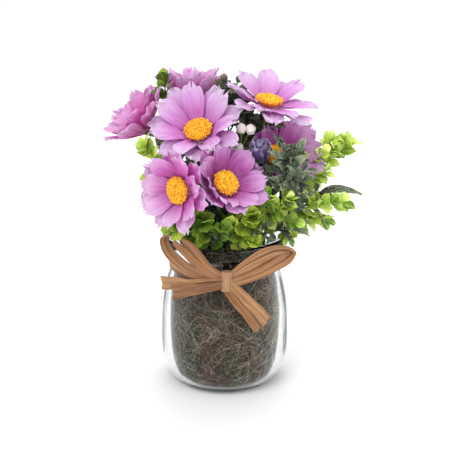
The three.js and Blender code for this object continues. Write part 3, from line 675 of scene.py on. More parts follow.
# The yellow disc: a dome set all over with small florets in a sunflower spiral.
def bloomCentre(name, bloom, hub, axes):
    radius, waist, base, height = bloom["disc"], centre["waist"], centre["base"], centre["height"]
    shoulder, side = base + centre["shoulder"], radius * 0.93
    heap = newHeap()
    dome = [(waist * 0.6, base + 0.1), (waist, base + 0.1), (radius * 0.9, base + 2.6), (side, shoulder)]
    dome += [(side * math.cos(a), mixed(shoulder, height - 0.7, math.sin(a) ** 0.8))
             for a in (0.25, 0.5, 0.8, 1.1, 1.35, 1.52)]
    addTurned(heap, dome, centre["sides"], hub, axes, -0.2)
    for i in range(floret["count"]):
        share = math.sqrt((i + 0.5) / floret["count"])
        rimmed = max(0.0, 1 - share ** 3.2)
        high = mixed(base + 3.4, height - 0.5, rimmed ** 0.55) + 0.35 * wobble(bloom["seed"], i)
        outward = spoke(axes, math.radians(floret["turn"] * i)) * (radius * 0.96 * share)
        size = floret["radius"] * (1 + 0.25 * wobble(bloom["seed"] + 5, i))
        matrix = Matrix.Translation(hub + outward + axes["up"] * high) \
            @ Matrix.Diagonal((size, size, size * 1.15, 1))
        # Florets towards the rim get a lower tone, a ring of painted shade in deeper orange; the rest varies
        # at random.
        tone = 0.55 - 0.35 * share ** 4 + 0.4 * wobble(bloom["seed"] + 9, i)
        addBall(heap, ballSmall, matrix, tone, floret["rough"], i)
    makePiece("disc_" + name, heap, yellow, "centre", "centre_" + name, smooth=70)


# The wire stem with the calyx under the petals and its small green leaves.
def bloomGreen(name, bloom, hub, axes):
    under, r = -1 - clearance, calyx["radius"]
    low = under - calyx["length"]
    heap = newHeap()
    addTurned(heap, [(1.3, low), (r * 0.46, under - 6.4), (r * 0.72, under - 4.4), (r * 0.97, under - 2),
                     (r, under - 0.5), (r * 0.96, under), (2, under)], calyx["sides"], hub, axes, 0.2)
    for k in range(calyx["leaves"]):
        angle = fullTurn * k / calyx["leaves"] + 0.2 * wobble(k, 2)
        place = rootFrame(hub + axes["up"] * (under - 5.2), axes, angle, 2.1)
        addBlade(heap, place, "lance", (4, 2), 0.3, wobble(k, 5), calyx["leafLength"], calyx["leafWidth"],
                 [math.radians(a) for a in (55, 62, 40)])
    addStem(heap, bloom["hole"], hub + axes["up"] * (low + 2), axes["up"], 16, bloomStem["radius"],
            (0.95, 0.95), bloomStem["sides"])
    makePiece("greenStem_" + name, heap, green, "stem", "stem_" + name)


for name, bloom in blooms.items():
    for grow in (bloomPetals, bloomCentre, bloomGreen):
        grow(name, bloom, Vector(bloom["hub"]), facing(bloom["faces"]))
print("blooms grown")

# Sprigs: the stem's hole, its tip and the way that points. Each tier of leaves, which the solid has
# too, holds its place along the stem, the angle of its first leaf, how many leaves, their angle from
# level, and their length. Rings of further leaves hold the same, with the splay as the angle, and
# twigs hold their place, angle, splay and length, the pairs of leaves and their length.
sprigs = {
    "ribbed_front": {
        "colour": "lime", "leaf": "round", "hole": (9, -22), "tip": (16.5, -38, 127.5),
        "points": (0.1, -0.4, 0.9),
        "tiers": [[0.5, 220, 2, 5, 11], [0.75, 250, 4, 14, 11], [1, 15, 4, 38, 10]],
        "rings": [[0.3, 230, 3, 0, 10], [0.42, 300, 3, 5, 11], [0.62, 200, 4, 12, 11], [0.88, 290, 4, 28, 10],
                  [1, 60, 3, 62, 8]],
        "twigs": [[0.4, 300, 20, 12, 2, 9], [0.55, 200, 20, 11, 2, 9]],
    },
    "ribbed_left": {
        "colour": "leaf", "leaf": "round", "hole": (-7, -24), "tip": (-14.5, -36.5, 124.5),
        "points": (0, -0.3, 0.95),
        "tiers": [[0.55, 255, 2, 10, 10], [1, 220, 4, 35, 10]],
        "rings": [[0.35, 200, 3, 0, 9], [0.7, 200, 3, 20, 9], [0.85, 280, 4, 25, 9], [1, 60, 3, 60, 7]],
        "twigs": [[0.3, 20, 30, 14, 2, 9], [0.5, 330, 25, 14, 2, 9], [0.6, 190, 30, 12, 2, 9]],
    },
    "rim_left": {
        "colour": "lime", "leaf": "round", "hole": (-21, -14), "tip": (-30, -33.5, 118.5),
        "points": (-0.5, -0.5, 0.7),
        "tiers": [[1, 190, 4, 15, 11]],
        "rings": [[0.7, 200, 3, 5, 8], [0.85, 230, 3, 20, 8], [1, 220, 3, 55, 7]],
        "twigs": [[0.5, 300, 30, 12, 2, 8]],
    },
    "box_right": {
        "colour": "lime", "leaf": "oval", "hole": (24, 3), "tip": (80, 0, 163), "points": (0.66, 0, 0.75),
        "tiers": [[0.62, 80, 2, 35, 10], [0.75, 20, 2, 35, 11], [0.88, 60, 2, 40, 11], [1, 0, 3, 50, 12]],
        "rings": [[0.56, 0, 2, 35, 10], [0.66, 180, 2, 40, 10], [0.7, 90, 2, 40, 10], [0.8, 0, 2, 40, 10],
                  [0.85, 270, 2, 40, 10], [0.93, 180, 2, 45, 10], [0.97, 90, 2, 50, 9], [1, 60, 2, 70, 8]],
        "twigs": [[0.4, 0, 50, 20, 4, 9], [0.5, 200, 55, 20, 4, 9], [0.6, 300, 50, 16, 3, 9],
                  [0.5, 250, 70, 30, 6, 9], [0.62, 200, 75, 26, 5, 9], [0.75, 220, 70, 18, 4, 8],
                  [0.3, 280, 45, 26, 5, 9]],
    },
    "box_low_right": {
        "colour": "lime", "leaf": "oval", "hole": (24, -9), "tip": (55.5, -16, 130),
        "points": (0.5, -0.2, 0.85),
        "tiers": [[0.5, 310, 2, 20, 11], [0.66, 5, 2, 20, 12], [0.83, 230, 3, 30, 12], [1, 335, 3, 45, 11]],
        "rings": [[0.4, 30, 2, 15, 10], [0.58, 200, 2, 25, 10], [0.74, 290, 2, 25, 10],
                  [0.92, 210, 3, 40, 10], [1, 50, 2, 70, 8]],
        "twigs": [[0.35, 0, 30, 18, 4, 9], [0.5, 230, 45, 18, 4, 9], [0.62, 340, 40, 16, 3, 9],
                  [0.7, 120, 50, 16, 3, 9], [0.85, 350, 55, 26, 5, 9], [0.9, 300, 55, 20, 4, 9],
                  [0.6, 0, 35, 28, 5, 9], [0.45, 345, -12, 15, 3, 8]],
    },
    "box_left": {
        "colour": "lime", "leaf": "oval", "hole": (-22, -8), "tip": (-50.5, -19.5, 166.5),
        "points": (-0.7, -0.1, 0.7),
        "tiers": [[0.82, 65, 2, 30, 10], [1, 5, 3, 45, 10]],
        "rings": [[0.66, 0, 2, 30, 9], [0.72, 90, 2, 30, 9], [0.77, 0, 2, 35, 9], [0.9, 100, 3, 40, 9],
                  [0.95, 20, 2, 45, 9], [1, 50, 2, 70, 8]],
        "twigs": [[0.6, 200, 45, 14, 3, 9], [0.7, 300, 45, 12, 3, 8]],
    },
    "box_top_left": {
        "colour": "leaf", "leaf": "oval", "hole": (-14, 5), "tip": (-39.5, 10, 202.5),
        "points": (-0.1, -0.1, 1),
        "tiers": [[0.93, 355, 2, 50, 10], [1, 85, 2, 60, 11]],
        "rings": [[0.8, 0, 2, 45, 9], [0.87, 90, 2, 45, 9], [0.97, 40, 2, 55, 8]],
        "twigs": [[0.86, 200, 55, 9, 2, 7]],
    },
    "box_front": {
        "colour": "lime", "leaf": "oval", "hole": (21, -18), "tip": (40, -40, 139.5),
        "points": (0.3, -0.3, 0.9),
        "tiers": [[0.55, 205, 2, 25, 11], [0.8, 25, 3, 20, 11], [1, 5, 3, 40, 11]],
        "rings": [[0.4, 290, 2, 20, 10], [0.5, 300, 2, 30, 10], [0.66, 250, 3, 25, 10], [0.9, 330, 3, 35, 10],
                  [1, 50, 2, 70, 8]],
        "twigs": [[0.4, 200, 40, 16, 3, 9], [0.55, 330, 35, 16, 3, 9], [0.7, 170, 45, 14, 3, 9]],
    },
    "frosted_right": {
        "colour": "frosted", "leaf": "lance", "hole": (18, -14.5), "tip": (45, -33, 149),
        "points": (0.2, -0.1, 0.95),
        "tiers": [[0.55, 195, 2, 40, 20], [0.78, 295, 3, 45, 21], [1, 115, 2, 70, 23]],
        "rings": [[0.42, 260, 2, 35, 15], [0.66, 250, 2, 45, 17], [0.9, 200, 3, 55, 16]],
        "twigs": [[0.5, 20, 50, 20, 3, 13], [0.6, 170, 50, 18, 3, 13], [0.75, 280, 55, 14, 3, 12],
                  [0.85, 60, 60, 14, 2, 13], [0.8, 180, 55, 16, 3, 13], [0.9, 230, 60, 12, 3, 12],
                  [0.7, 200, 60, 18, 3, 12], [1, 180, 58, 18, 4, 15], [1, 205, 72, 16, 3, 15],
                  [0.95, 165, 40, 15, 3, 15]],
    },
    "frosted_low_right": {
        "colour": "frosted", "leaf": "lance", "hole": (26, -3), "tip": (63.5, -4, 132.5),
        "points": (0.85, -0.1, 0.5),
        "tiers": [[0.6, 235, 1, 10, 20], [0.8, 325, 2, 25, 20], [1, 15, 1, 60, 26]],
        "rings": [[0.45, 260, 2, 25, 15], [0.7, 250, 2, 30, 15], [0.9, 300, 2, 35, 16],
                  [0.94, 350, 1, 30, 21], [1, 350, 1, 22, 17]],
        "twigs": [[0.35, 290, 30, 18, 3, 12], [0.5, 200, 50, 18, 3, 12], [0.65, 10, 50, 14, 2, 12]],
    },
    "frosted_rim": {
        "colour": "frosted", "leaf": "lance", "hole": (16, -20), "tip": (40.5, -30, 117.5),
        "points": (0.7, -0.3, 0.5),
        "tiers": [[0.7, 240, 2, 20, 17], [1, 345, 3, 40, 17]],
        "rings": [[0.5, 250, 2, 15, 12], [0.85, 300, 3, 30, 13]],
        "twigs": [[0.4, 220, 40, 14, 3, 11], [0.6, 20, 45, 14, 3, 11]],
    },
    "frosted_left": {
        "colour": "frosted", "leaf": "lance", "hole": (-19, -3), "tip": (-33, -24, 158),
        "points": (-0.2, -0.3, 0.9),
        "tiers": [[0.8, 280, 2, 30, 15], [1, 20, 2, 40, 15]],
        "rings": [[0.6, 200, 2, 30, 12], [0.9, 240, 2, 40, 12]],
        "twigs": [[0.3, 340, 30, 16, 3, 12], [0.45, 20, 40, 16, 3, 12], [0.85, 0, 5, 20, 4, 11],
                  [0.75, 340, 0, 24, 4, 11], [0.6, 350, 10, 26, 4, 12], [0.95, 0, 16, 22, 5, 12],
                  [1, 350, 4, 17, 4, 11]],
    },
    "box_back": {
        "colour": "lime", "leaf": "oval", "hole": (14, 14), "tip": (36, 38, 156), "points": (0.4, 0.5, 0.75),
        "tiers": [[0.66, 0, 2, 30, 12], [0.83, 90, 2, 30, 12], [1, 45, 3, 50, 12]],
        "rings": [[0.5, 60, 2, 25, 10], [0.58, 150, 2, 25, 10], [0.74, 30, 2, 35, 10], [0.92, 0, 3, 45, 10]],
        "twigs": [[0.4, 200, 45, 18, 4, 9], [0.5, 20, 40, 18, 4, 9], [0.65, 90, 50, 14, 3, 9]],
    },
    "ribbed_back": {
        "colour": "leaf", "leaf": "round", "hole": (1, 22), "tip": (3, 36, 128), "points": (0, 0.4, 0.9),
        "tiers": [[0.74, 20, 4, 15, 11], [1, 0, 4, 38, 10]],
        "rings": [[0.4, 90, 3, 5, 9], [0.58, 30, 4, 10, 10], [0.88, 45, 4, 28, 9]],
        "twigs": [[0.2, 200, 40, 16, 3, 9], [0.3, 340, 40, 16, 3, 9], [0.5, 260, 45, 14, 3, 9]],
    },
    "frosted_back": {
        "colour": "frosted", "leaf": "lance", "hole": (-14, 15), "tip": (-38, 34, 146),
        "points": (-0.5, 0.4, 0.75),
        "tiers": [[0.6, 60, 2, 30, 20], [0.8, 0, 2, 40, 21], [1, 90, 2, 65, 22]],
        "rings": [[0.45, 60, 2, 30, 14], [0.7, 120, 2, 40, 15], [0.9, 60, 2, 50, 15]],
        "twigs": [[0.3, 120, 40, 18, 3, 12], [0.5, 330, 50, 18, 3, 12]],
    },
}
leafKinds = {
    "round": {"wide": 0.95, "droop": 20, "cells": (6, 6), "shape": {"cup": 0.2, "ripple": 0.25, "ribs": 0.1}},
    "oval": {"wide": 0.7, "droop": 15, "cells": (6, 4), "shape": {"cup": 0.25, "ripple": 0.15}},
    "lance": {"wide": 0.36, "droop": 40, "cells": (9, 4), "shape": {"cup": 0.25, "ripple": 0.45}},
}
leafThick = 0.4
sprigRadius = 0.95
twigLook = {"radii": (0.6, 0.3), "parts": 8, "lift": 0.15}


def addLeaf(heap, place, leaf, reach, angles, twist, tone, seed):
    kind = leafKinds[leaf]
    addBlade(heap, place, leaf, kind["cells"], leafThick, tone, reach, reach * kind["wide"], angles,
             twist=twist, seed=seed, **kind["shape"])


# Leaves that are not on the solid turn their upper faces outwards, upwards and to the viewer's side.
def turnedLeaf(heap, root, direction, leaf, length, seed):
    out = direction.normalized()
    outward = Vector((root.x, root.y, 0)).normalized() * 0.5
    favour = outward + Vector((0, 0.4 if root.y > 12 else -0.5, 0.6))
    favour += Vector([0.25 * wobble(seed, i) for i in range(3)])
    up = (favour - out * favour.dot(out)).normalized()
    place = {"root": root + out * 0.3, "out": out, "up": up, "side": up.cross(out)}
    angles = [0.25, 0.1, -0.35 + 0.15 * wobble(seed, 5)]
    addLeaf(heap, place, leaf, length * (1 + 0.15 * wobble(seed, 4)), angles, 0.25 * wobble(seed, 6),
            wobble(seed, 7), seed)


def addRing(heap, at, ring, leaf, seed):
    along, first, count, splay, length = ring
    root, ahead = at(along)
    axes = facing(ahead)
    for k in range(count):
        angle = math.radians(first + 360 / count * k + 15 * wobble(seed, k))
        rising = math.radians(splay + 10 * wobble(seed, k + 9))
        direction = spoke(axes, angle) * math.cos(rising) + axes["up"] * math.sin(rising)
        turnedLeaf(heap, root, direction, leaf, length, seed + k)


def addTwig(heap, at, twig, leaf, seed):
    along, turn, splay, length, pairs, leafLength = twig
    root, ahead = at(along)
    axes, splay = facing(ahead), math.radians(splay)
    heading = spoke(axes, math.radians(turn)) * math.cos(splay) + axes["up"] * math.sin(splay)
    parts, lift = twigLook["parts"], twigLook["lift"]
    tip = root + heading * length + Vector((0, 0, lift * length))
    curve = curveSteps(root, root + heading * 0.35 * length,
                       tip - (heading + axes["up"]) * lift * length, tip, parts)
    addTube(heap, curve, [mixed(*twigLook["radii"], share) for share in steps(parts)], 6, 0.0)
    for pair in range(pairs):  # the first pair stands a third up, the last one at the tip
        k = min(parts, 2 + round((parts - 2) * (pair + 1) / pairs))
        near = facing((curve[k] - curve[k - 1]).normalized())
        quarter = math.pi / 2 * pair + wobble(seed, pair)
        for half in (0, math.pi):
            direction = spoke(near, quarter + half) * 0.75 + near["up"] * (0.55 + 0.3 * (pair == pairs - 1))
            turnedLeaf(heap, curve[k], direction, leaf, leafLength, seed + 3 * pair + half)


def addFoliage(heap, at, plant, leaf, ringSeed, twigSeed):
    for number, ring in enumerate(plant["rings"]):
        addRing(heap, at, ring, leaf, ringSeed + 11 * number)
    for number, twig in enumerate(plant["twigs"]):
        addTwig(heap, at, twig, leaf, twigSeed + 17 * number)


def sprigPiece(name, sprig):
    tip, leaf = Vector(sprig["tip"]), sprig["leaf"]
    droop = leafKinds[leaf]["droop"]
    heap = newHeap()
    at = addStem(heap, sprig["hole"], tip, Vector(sprig["points"]).normalized(), 14, sprigRadius, (0.95, 0.5))
    addFoliage(heap, at, sprig, leaf, tip.x, tip.y)
    for tier, (along, first, count, splay, length) in enumerate(sprig["tiers"]):
        root, ahead = at(along)
        for k in range(count):
            draw = lambda n: wobble(tip.x + tip.z + tier * 5, k * 7 + n)
            angle = math.radians(first + (360 / count) * k + 10 * draw(0))
            start = splay + 8 * draw(1)
            angles = [math.radians(a) for a in (start, start - droop / 3, start - droop)]
            addLeaf(heap, rootFrame(root, facing(ahead), angle, 0.4, -1.1 * k), leaf,
                    length * (1 + 0.12 * draw(2)), angles, math.radians(12 * draw(3)), draw(4), tier * 9 + k)
    finish = "spring" if sprig["colour"] == "lime" and leaf == "oval" else sprig["colour"]
    makePiece("leafySprig_" + name, heap, leafFinishes[finish], sprig["colour"], "sprig_" + name)


for name, sprig in sprigs.items():
    sprigPiece(name, sprig)

# Small buds: each spray has a stem and round buds [x, y, z, radius] carried on short stalks. Leaves
# along the stem, in rings and twigs as on the sprigs, close the gaps between the blooms, dark with painted
# shade.
budSprays = {
    "berries": {
        "colour": "berry", "hole": (1, 7), "tip": (3, 12, 192), "points": (0, 0, 1),
        "buds": [[-0.4, 15, 204, 2.6], [9.4, 12, 204, 2.3], [12.6, 10, 198.9, 2.5], [4.5, 9, 197, 2.3],
                 [-3.5, 12, 196, 2.8]],
        "rings": [[0.35, 70, 3, 35, 11], [0.5, 10, 3, 35, 11], [0.65, 100, 3, 35, 11], [0.8, 40, 3, 35, 11],
                  [0.9, 280, 4, 40, 9], [0.95, 20, 4, 50, 8], [1, 330, 4, 55, 8]],
        "twigs": [[0.3, 330, 40, 20, 4, 11], [0.4, 20, 50, 24, 4, 11], [0.55, 340, 50, 24, 4, 11],
                  [0.6, 30, 55, 24, 4, 11], [0.75, 350, 60, 20, 4, 10], [0.6, 200, 50, 18, 3, 11],
                  [0.85, 20, 70, 15, 3, 8], [0.9, 250, 75, 12, 3, 8], [0.9, 150, 75, 13, 3, 8],
                  [0.8, 350, 12, 26, 5, 10], [0.7, 340, 15, 30, 5, 10], [0.6, 350, 20, 30, 5, 11],
                  [0.5, 0, 20, 30, 5, 11], [0.75, 190, 25, 22, 4, 10]],
    },
    "white_buds": {
        "colour": "white", "hole": (4, -12), "tip": (11, -21.5, 170), "points": (0, 0, 1),
        "buds": [[10.7, -23.5, 181, 3.1], [16.5, -22.5, 180, 3.3], [9.5, -26.5, 169, 2.7]],
        "rings": [[0.2, 20, 4, 15, 12], [0.3, 80, 4, 15, 12], [0.4, 160, 4, 20, 11], [0.5, 240, 4, 20, 11],
                  [0.6, 320, 3, 30, 10], [0.7, 40, 3, 30, 10], [0.8, 300, 3, 30, 9], [0.9, 30, 3, 35, 8]],
        "twigs": [[0.05, 300, 10, 20, 4, 11], [0.05, 200, 20, 22, 4, 11], [0.1, 250, 20, 22, 4, 11],
                  [0.15, 0, 20, 22, 4, 11], [0.2, 180, 25, 28, 5, 11], [0.3, 200, 30, 26, 4, 11],
                  [0.3, 320, 30, 20, 4, 11], [0.4, 340, 35, 22, 4, 10], [0.45, 210, 40, 20, 4, 10],
                  [0.6, 0, 55, 16, 3, 10], [0.6, 180, 60, 14, 3, 9], [0.75, 90, 60, 12, 3, 8],
                  [0.02, 180, 35, 22, 5, 11], [0.02, 230, 50, 24, 5, 11], [0.02, 140, 40, 24, 5, 11],
                  [0.3, 175, 15, 26, 5, 11], [0.45, 170, 20, 30, 5, 11], [0.55, 170, 10, 30, 5, 11],
                  [0.8, 0, 30, 14, 3, 9], [0.02, 178, 5, 29, 6, 9], [0.05, 190, 14, 28, 6, 9],
                  [0.04, 196, 2, 26, 5, 8]],
    },
}
budLooks = {
    "berry": {"finish": budSkin("berrySkin", colour(48, 58, 38), colour(170, 166, 128), 0.5),
              "tones": (0.1, 0.1, 0.1, 0.65, 0.65), "rough": 0.035},
    "white": {"finish": budSkin("budCream", colour(176, 160, 146), colour(240, 234, 226), 0.75),
              "tones": (0.7, 0.7, 0.7), "rough": 0.13},
}
budSepals = 5


def budSpray(name, spray):
    tip, look = Vector(spray["tip"]), budLooks[spray["colour"]]
    heap = newHeap()
    at = addStem(heap, spray["hole"], tip, Vector(spray["points"]).normalized(), 12, sprigRadius, (0.9, 0.6))
    for i, (x, y, z, radius) in enumerate(spray["buds"]):
        bud = Vector((x, y, z))
        root = tip - Vector((0, 0, 2))
        bow = (root + bud) / 2 + Vector((0.6 * wobble(i, 3), 0.6 * wobble(i, 4), -0.6))
        curve = curveSteps(root, bow, bow, bud, 5)
        addTube(heap, curve, [0.5] * len(curve), 6, 0.0)
        matrix = Matrix.Translation(bud) @ Matrix.Diagonal((radius, radius, radius * 1.05, 1)) \
            @ Matrix.Rotation(i * 1.3, 4, "X")
        addBall(heap, ballFine, matrix, look["tones"][i], look["rough"], i)
        axes, start = facing((bud - root).normalized()), len(heap["stalk"])
        for k in range(budSepals):
            place = rootFrame(bud - axes["up"] * radius * 0.96, axes, fullTurn * k / budSepals)
            addBlade(heap, place, "lance", (3, 2), 0.25, 0.0, radius * 1.15, radius * 0.75, [0.35, 0.9, 1.25])
        heap["stalk"][start:] = [1.0] * (len(heap["stalk"]) - start)
    makePiece("budSpray_" + name, heap, look["finish"], spray["colour"], name)
    heap = newHeap()
    addFoliage(heap, at, spray, "oval", 5, 9)
    makePiece("foliage_" + name, heap, leafFinishes["dark"], "leaf", name)


for name, spray in budSprays.items():
    budSpray(name, spray)

# The violet bud: rings of ruffled petals that close over one another.
violetBud = {
    "hole": (9, -13), "tip": (21.5, -26, 160), "points": (0.1, -0.25, 0.95), "scale": 7.4 / 6.4,
    "cells": (9, 8), "thick": 0.35, "shape": {"bendAt": 0.42, "cup": 0.34, "ribs": 0.2},
    "rings": [  # how many petals, their distance out, length, width, slopes and ripple
        (6, 1.6, 14.5, 10.5, (8, 78, 112), 1.3), (5, 1.0, 13.5, 9, (30, 84, 118), 1.2),
        (4, 0.6, 12.5, 7, (55, 88, 112), 1.0),
    ],
}


def violetPiece(bud):
    tip, axes = Vector(bud["tip"]), facing(bud["points"])
    heap = newHeap()
    addStem(heap, bud["hole"], tip + axes["up"], axes["up"], 12, sprigRadius, (0.9, 0.9))
    for ring, (count, out, length, width, slopes, ripple) in enumerate(bud["rings"]):
        root = tip + axes["up"] * (0.6 + 0.3 * ring)
        for k in range(count):
            draw = wobble(ring + 3, k)
            addBlade(heap, rootFrame(root, axes, fullTurn * (k + 0.5 * ring) / count, out), "petal",
                     bud["cells"], bud["thick"], draw, length * bud["scale"] * (1 + 0.08 * draw),
                     width * bud["scale"], [math.radians(a + 5 * draw) for a in slopes],
                     twist=math.radians(8 * draw), ripple=ripple * 0.55, seed=ring * 7 + k, **bud["shape"])
    makePiece("ruffledBud", heap, violetCloth(), "violet", "violet_bud")


violetPiece(violetBud)
print("sprigs and buds grown")

jar = {
    "height": 104, "footRadius": 30, "bellyRadius": 42.5, "neckRadius": 35, "neckHeight": 83,
    "rimRadius": 41.7,
    "bellyHeight": 23,  # where the rounded foot meets the side
    "bellyMiddle": 40, "wall": 4.6, "neckWall": 2.4, "floor": 3.6, "sides": 96,
}


def splined(points, share):
    made = []
    for i in range(len(points) - 1):
        p = [Vector(q) for q in neighbours(points, i)]
        made += [through(p, k / share) for k in range(share)]
    return [tuple(p) for p in (*made, Vector(points[-1]))]


footCurve = []
for t in (0.3, 0.62, 1):
    angle = math.pi / 2 * t
    footCurve.append((jar["footRadius"] + (jar["bellyRadius"] - jar["footRadius"]) * math.sin(angle),
                      jar["bellyHeight"] * (1 - math.cos(angle))))
foot, floorTop, middle = jar["footRadius"], jar["floor"], jar["bellyMiddle"]
belly, neck = (jar["bellyRadius"], middle), (jar["neckRadius"], jar["neckHeight"])
flank = [(mixed(belly[0], neck[0], t) + 1.9 * math.sin(math.pi * t), mixed(belly[1], neck[1], t))
         for t in (1 / 3, 2 / 3)]
rim, top, wall, neckWall = jar["rimRadius"], jar["height"], jar["wall"], jar["neckWall"]
outside = [(foot, 0), *footCurve, belly, *flank, neck, (neck[0] + 1.2, neck[1] + 4),
           (rim - 0.8, neck[1] + 9), (rim, top - 7), (rim - 0.5, top - 1.6)]
inside = [(rim - 4, top - 0.6), (rim - 5, top - 8), (neck[0] - neckWall, neck[1] + 4),
          (neck[0] - neckWall - 0.4, neck[1] - 1),
          *[(r - mixed(neckWall, wall, 0.5 + 0.3 * k), z) for k, (r, z) in enumerate(reversed(flank))],
          (belly[0] - wall, middle), (belly[0] - wall - 0.6, 24),
          (belly[0] - 7.6, floorTop + 7), (foot + 1.5, floorTop + 1)]


# A profile from axis to axis is drawn as edges and spun round.
def spunPiece(name, profile, count):
    mesh = bpy.data.meshes.new(name)
    mesh.from_pydata([(r * mm, 0, z * mm) for r, z in profile],
                     [(i, i + 1) for i in range(len(profile) - 1)], [])
    piece = bpy.data.objects.new(name, mesh)
    bpy.context.collection.objects.link(piece)
    deselect()
    piece.select_set(True)
    bpy.context.view_layer.objects.active = piece
    bpy.ops.object.mode_set(mode="EDIT")
    bpy.ops.mesh.select_all(action="SELECT")
    bpy.ops.mesh.spin(steps=count, angle=fullTurn, center=(0, 0, 0), axis=(0, 0, 1))
    bpy.ops.mesh.select_all(action="SELECT")
    bpy.ops.mesh.remove_doubles(threshold=0.00001)
    bpy.ops.mesh.normals_make_consistent(inside=False)
    bpy.ops.object.mode_set(mode="OBJECT")
    return piece


jarProfile = [(0, 0), (foot - 6, 0), (foot - 1.2, 0), *splined(outside, 4)]
jarProfile += [(rim - 1.2, top - 0.35), (rim - 2.3, top), (rim - 3.3, top - 0.1), *splined(inside, 4)]
jarProfile += [(foot - 3, floorTop + 0.4), (foot - 12, floorTop), (0, floorTop)]
finishPiece(spunPiece("glassJar", jarProfile, jar["sides"]), jarGlass(), "glass", "jar", smooth=60)
print("jar spun")

# The fibre: a dark plug that fills the jar, with loose strands over its side and its crown.
coir = {
    "inset": 1.6, "plugSides": 64, "lump": 0.02, "seed": 11, "radius": 0.115, "segments": 7,
    "taper": (0.5, 0.9, 1, 1, 1, 1, 0.9, 0.5),
    "strands": 4200, "slope": 1.5, "bend": 0.55, "stride": (1.6, 4.6), "sunk": (0.15, 1.3),
    "crownStrands": 900, "crownRadius": 30, "crownBend": 0.4, "crownStride": 2.6,
}
fillSide = [(r - clearance, z + (clearance if z < 10 else 0)) for r, z in inside[3:]]
plugTop = [(14, fibre["top"] + fibre["dome"]), (24, fibre["top"] + 0.6 * fibre["dome"]), (30.5, fibre["top"])]
plugLine = splined([*plugTop, *fillSide], 3)
plugProfile = [(0, plugTop[0][1] - coir["inset"])]
plugProfile += [(max(1.0, r - coir["inset"]), z - (coir["inset"] if z > 86 else 0)
                 + (coir["inset"] if z < 12 else 0)) for r, z in plugLine]
plugProfile += [(0, floorTop + 1 + coir["inset"])]
plug = spunPiece("coirPlug", plugProfile, coir["plugSides"])
for vertex in plug.data.vertices:
    swell = 1 + coir["lump"] * wobble(3, vertex.index)
    vertex.co.x *= swell
    vertex.co.y *= swell
finishPiece(plug, coirPlug(), "fibre", "fibre")
random.seed(coir["seed"])
sideRows = sorted((z, r) for r, z in plugLine if z < fibre["top"])


def sideRadius(z):
    for (z0, r0), (z1, r1) in zip(sideRows, sideRows[1:]):
        if z0 <= z <= z1:
            return mixed(r0, r1, (z - z0) / max(1e-6, z1 - z0))
    return sideRows[0][1] if z < sideRows[0][0] else sideRows[-1][1]


def strandOnSide(heap):
    angle, z = random.uniform(0, fullTurn), random.uniform(floorTop + 2, 88)
    heading = random.uniform(-coir["slope"], coir["slope"])
    bend = random.uniform(-coir["bend"], coir["bend"])
    stride = random.uniform(*coir["stride"])
    sunk = random.uniform(*coir["sunk"])
    path = []
    for _ in range(coir["segments"] + 1):
        z = max(floorTop + 2.2, min(89, z))
        radius = sideRadius(z) - sunk - coir["radius"]
        path.append(Vector((radius * math.sin(angle), -radius * math.cos(angle), z)))
        angle += stride * math.cos(heading) / radius
        z += stride * math.sin(heading)
        heading += bend
    addTube(heap, path, [coir["radius"] * s for s in coir["taper"]], 3, random.random(), 0.0)


def strandOnCrown(heap):
    edge = coir["crownRadius"]
    angle, out = random.uniform(0, fullTurn), (edge - 1) * math.sqrt(random.random())
    heading = random.uniform(0, fullTurn)
    bend = random.uniform(-coir["crownBend"], coir["crownBend"])
    x, y = out * math.cos(angle), out * math.sin(angle)
    path = []
    for share in steps(coir["segments"]):
        reach = math.hypot(x, y)
        if reach > edge:
            x, y, reach = x * edge / reach, y * edge / reach, edge
        dome = fibre["top"] + fibre["dome"] * math.sqrt(max(0, 1 - (reach / 33) ** 2)) - 0.9
        path.append(Vector((x, y, dome + 1.1 * math.sin(math.pi * share) * random.random())))
        x += coir["crownStride"] * math.cos(heading)
        y += coir["crownStride"] * math.sin(heading)
        heading += bend
    addTube(heap, path, [coir["radius"]] * len(path), 3, random.random(), 0.0)


coirTone = coirStrands()
for layerName, addStrand, count in (("coirStrands", strandOnSide, coir["strands"]),
                                    ("coirWisps", strandOnSide, coir["strands"]),
                                    ("coirCrown", strandOnCrown, coir["crownStrands"])):
    strandHeap = newHeap()
    for _ in range(count):
        addStrand(strandHeap)
    makePiece(layerName, strandHeap, coirTone, "fibre", smooth=70)
print("fibre packed")

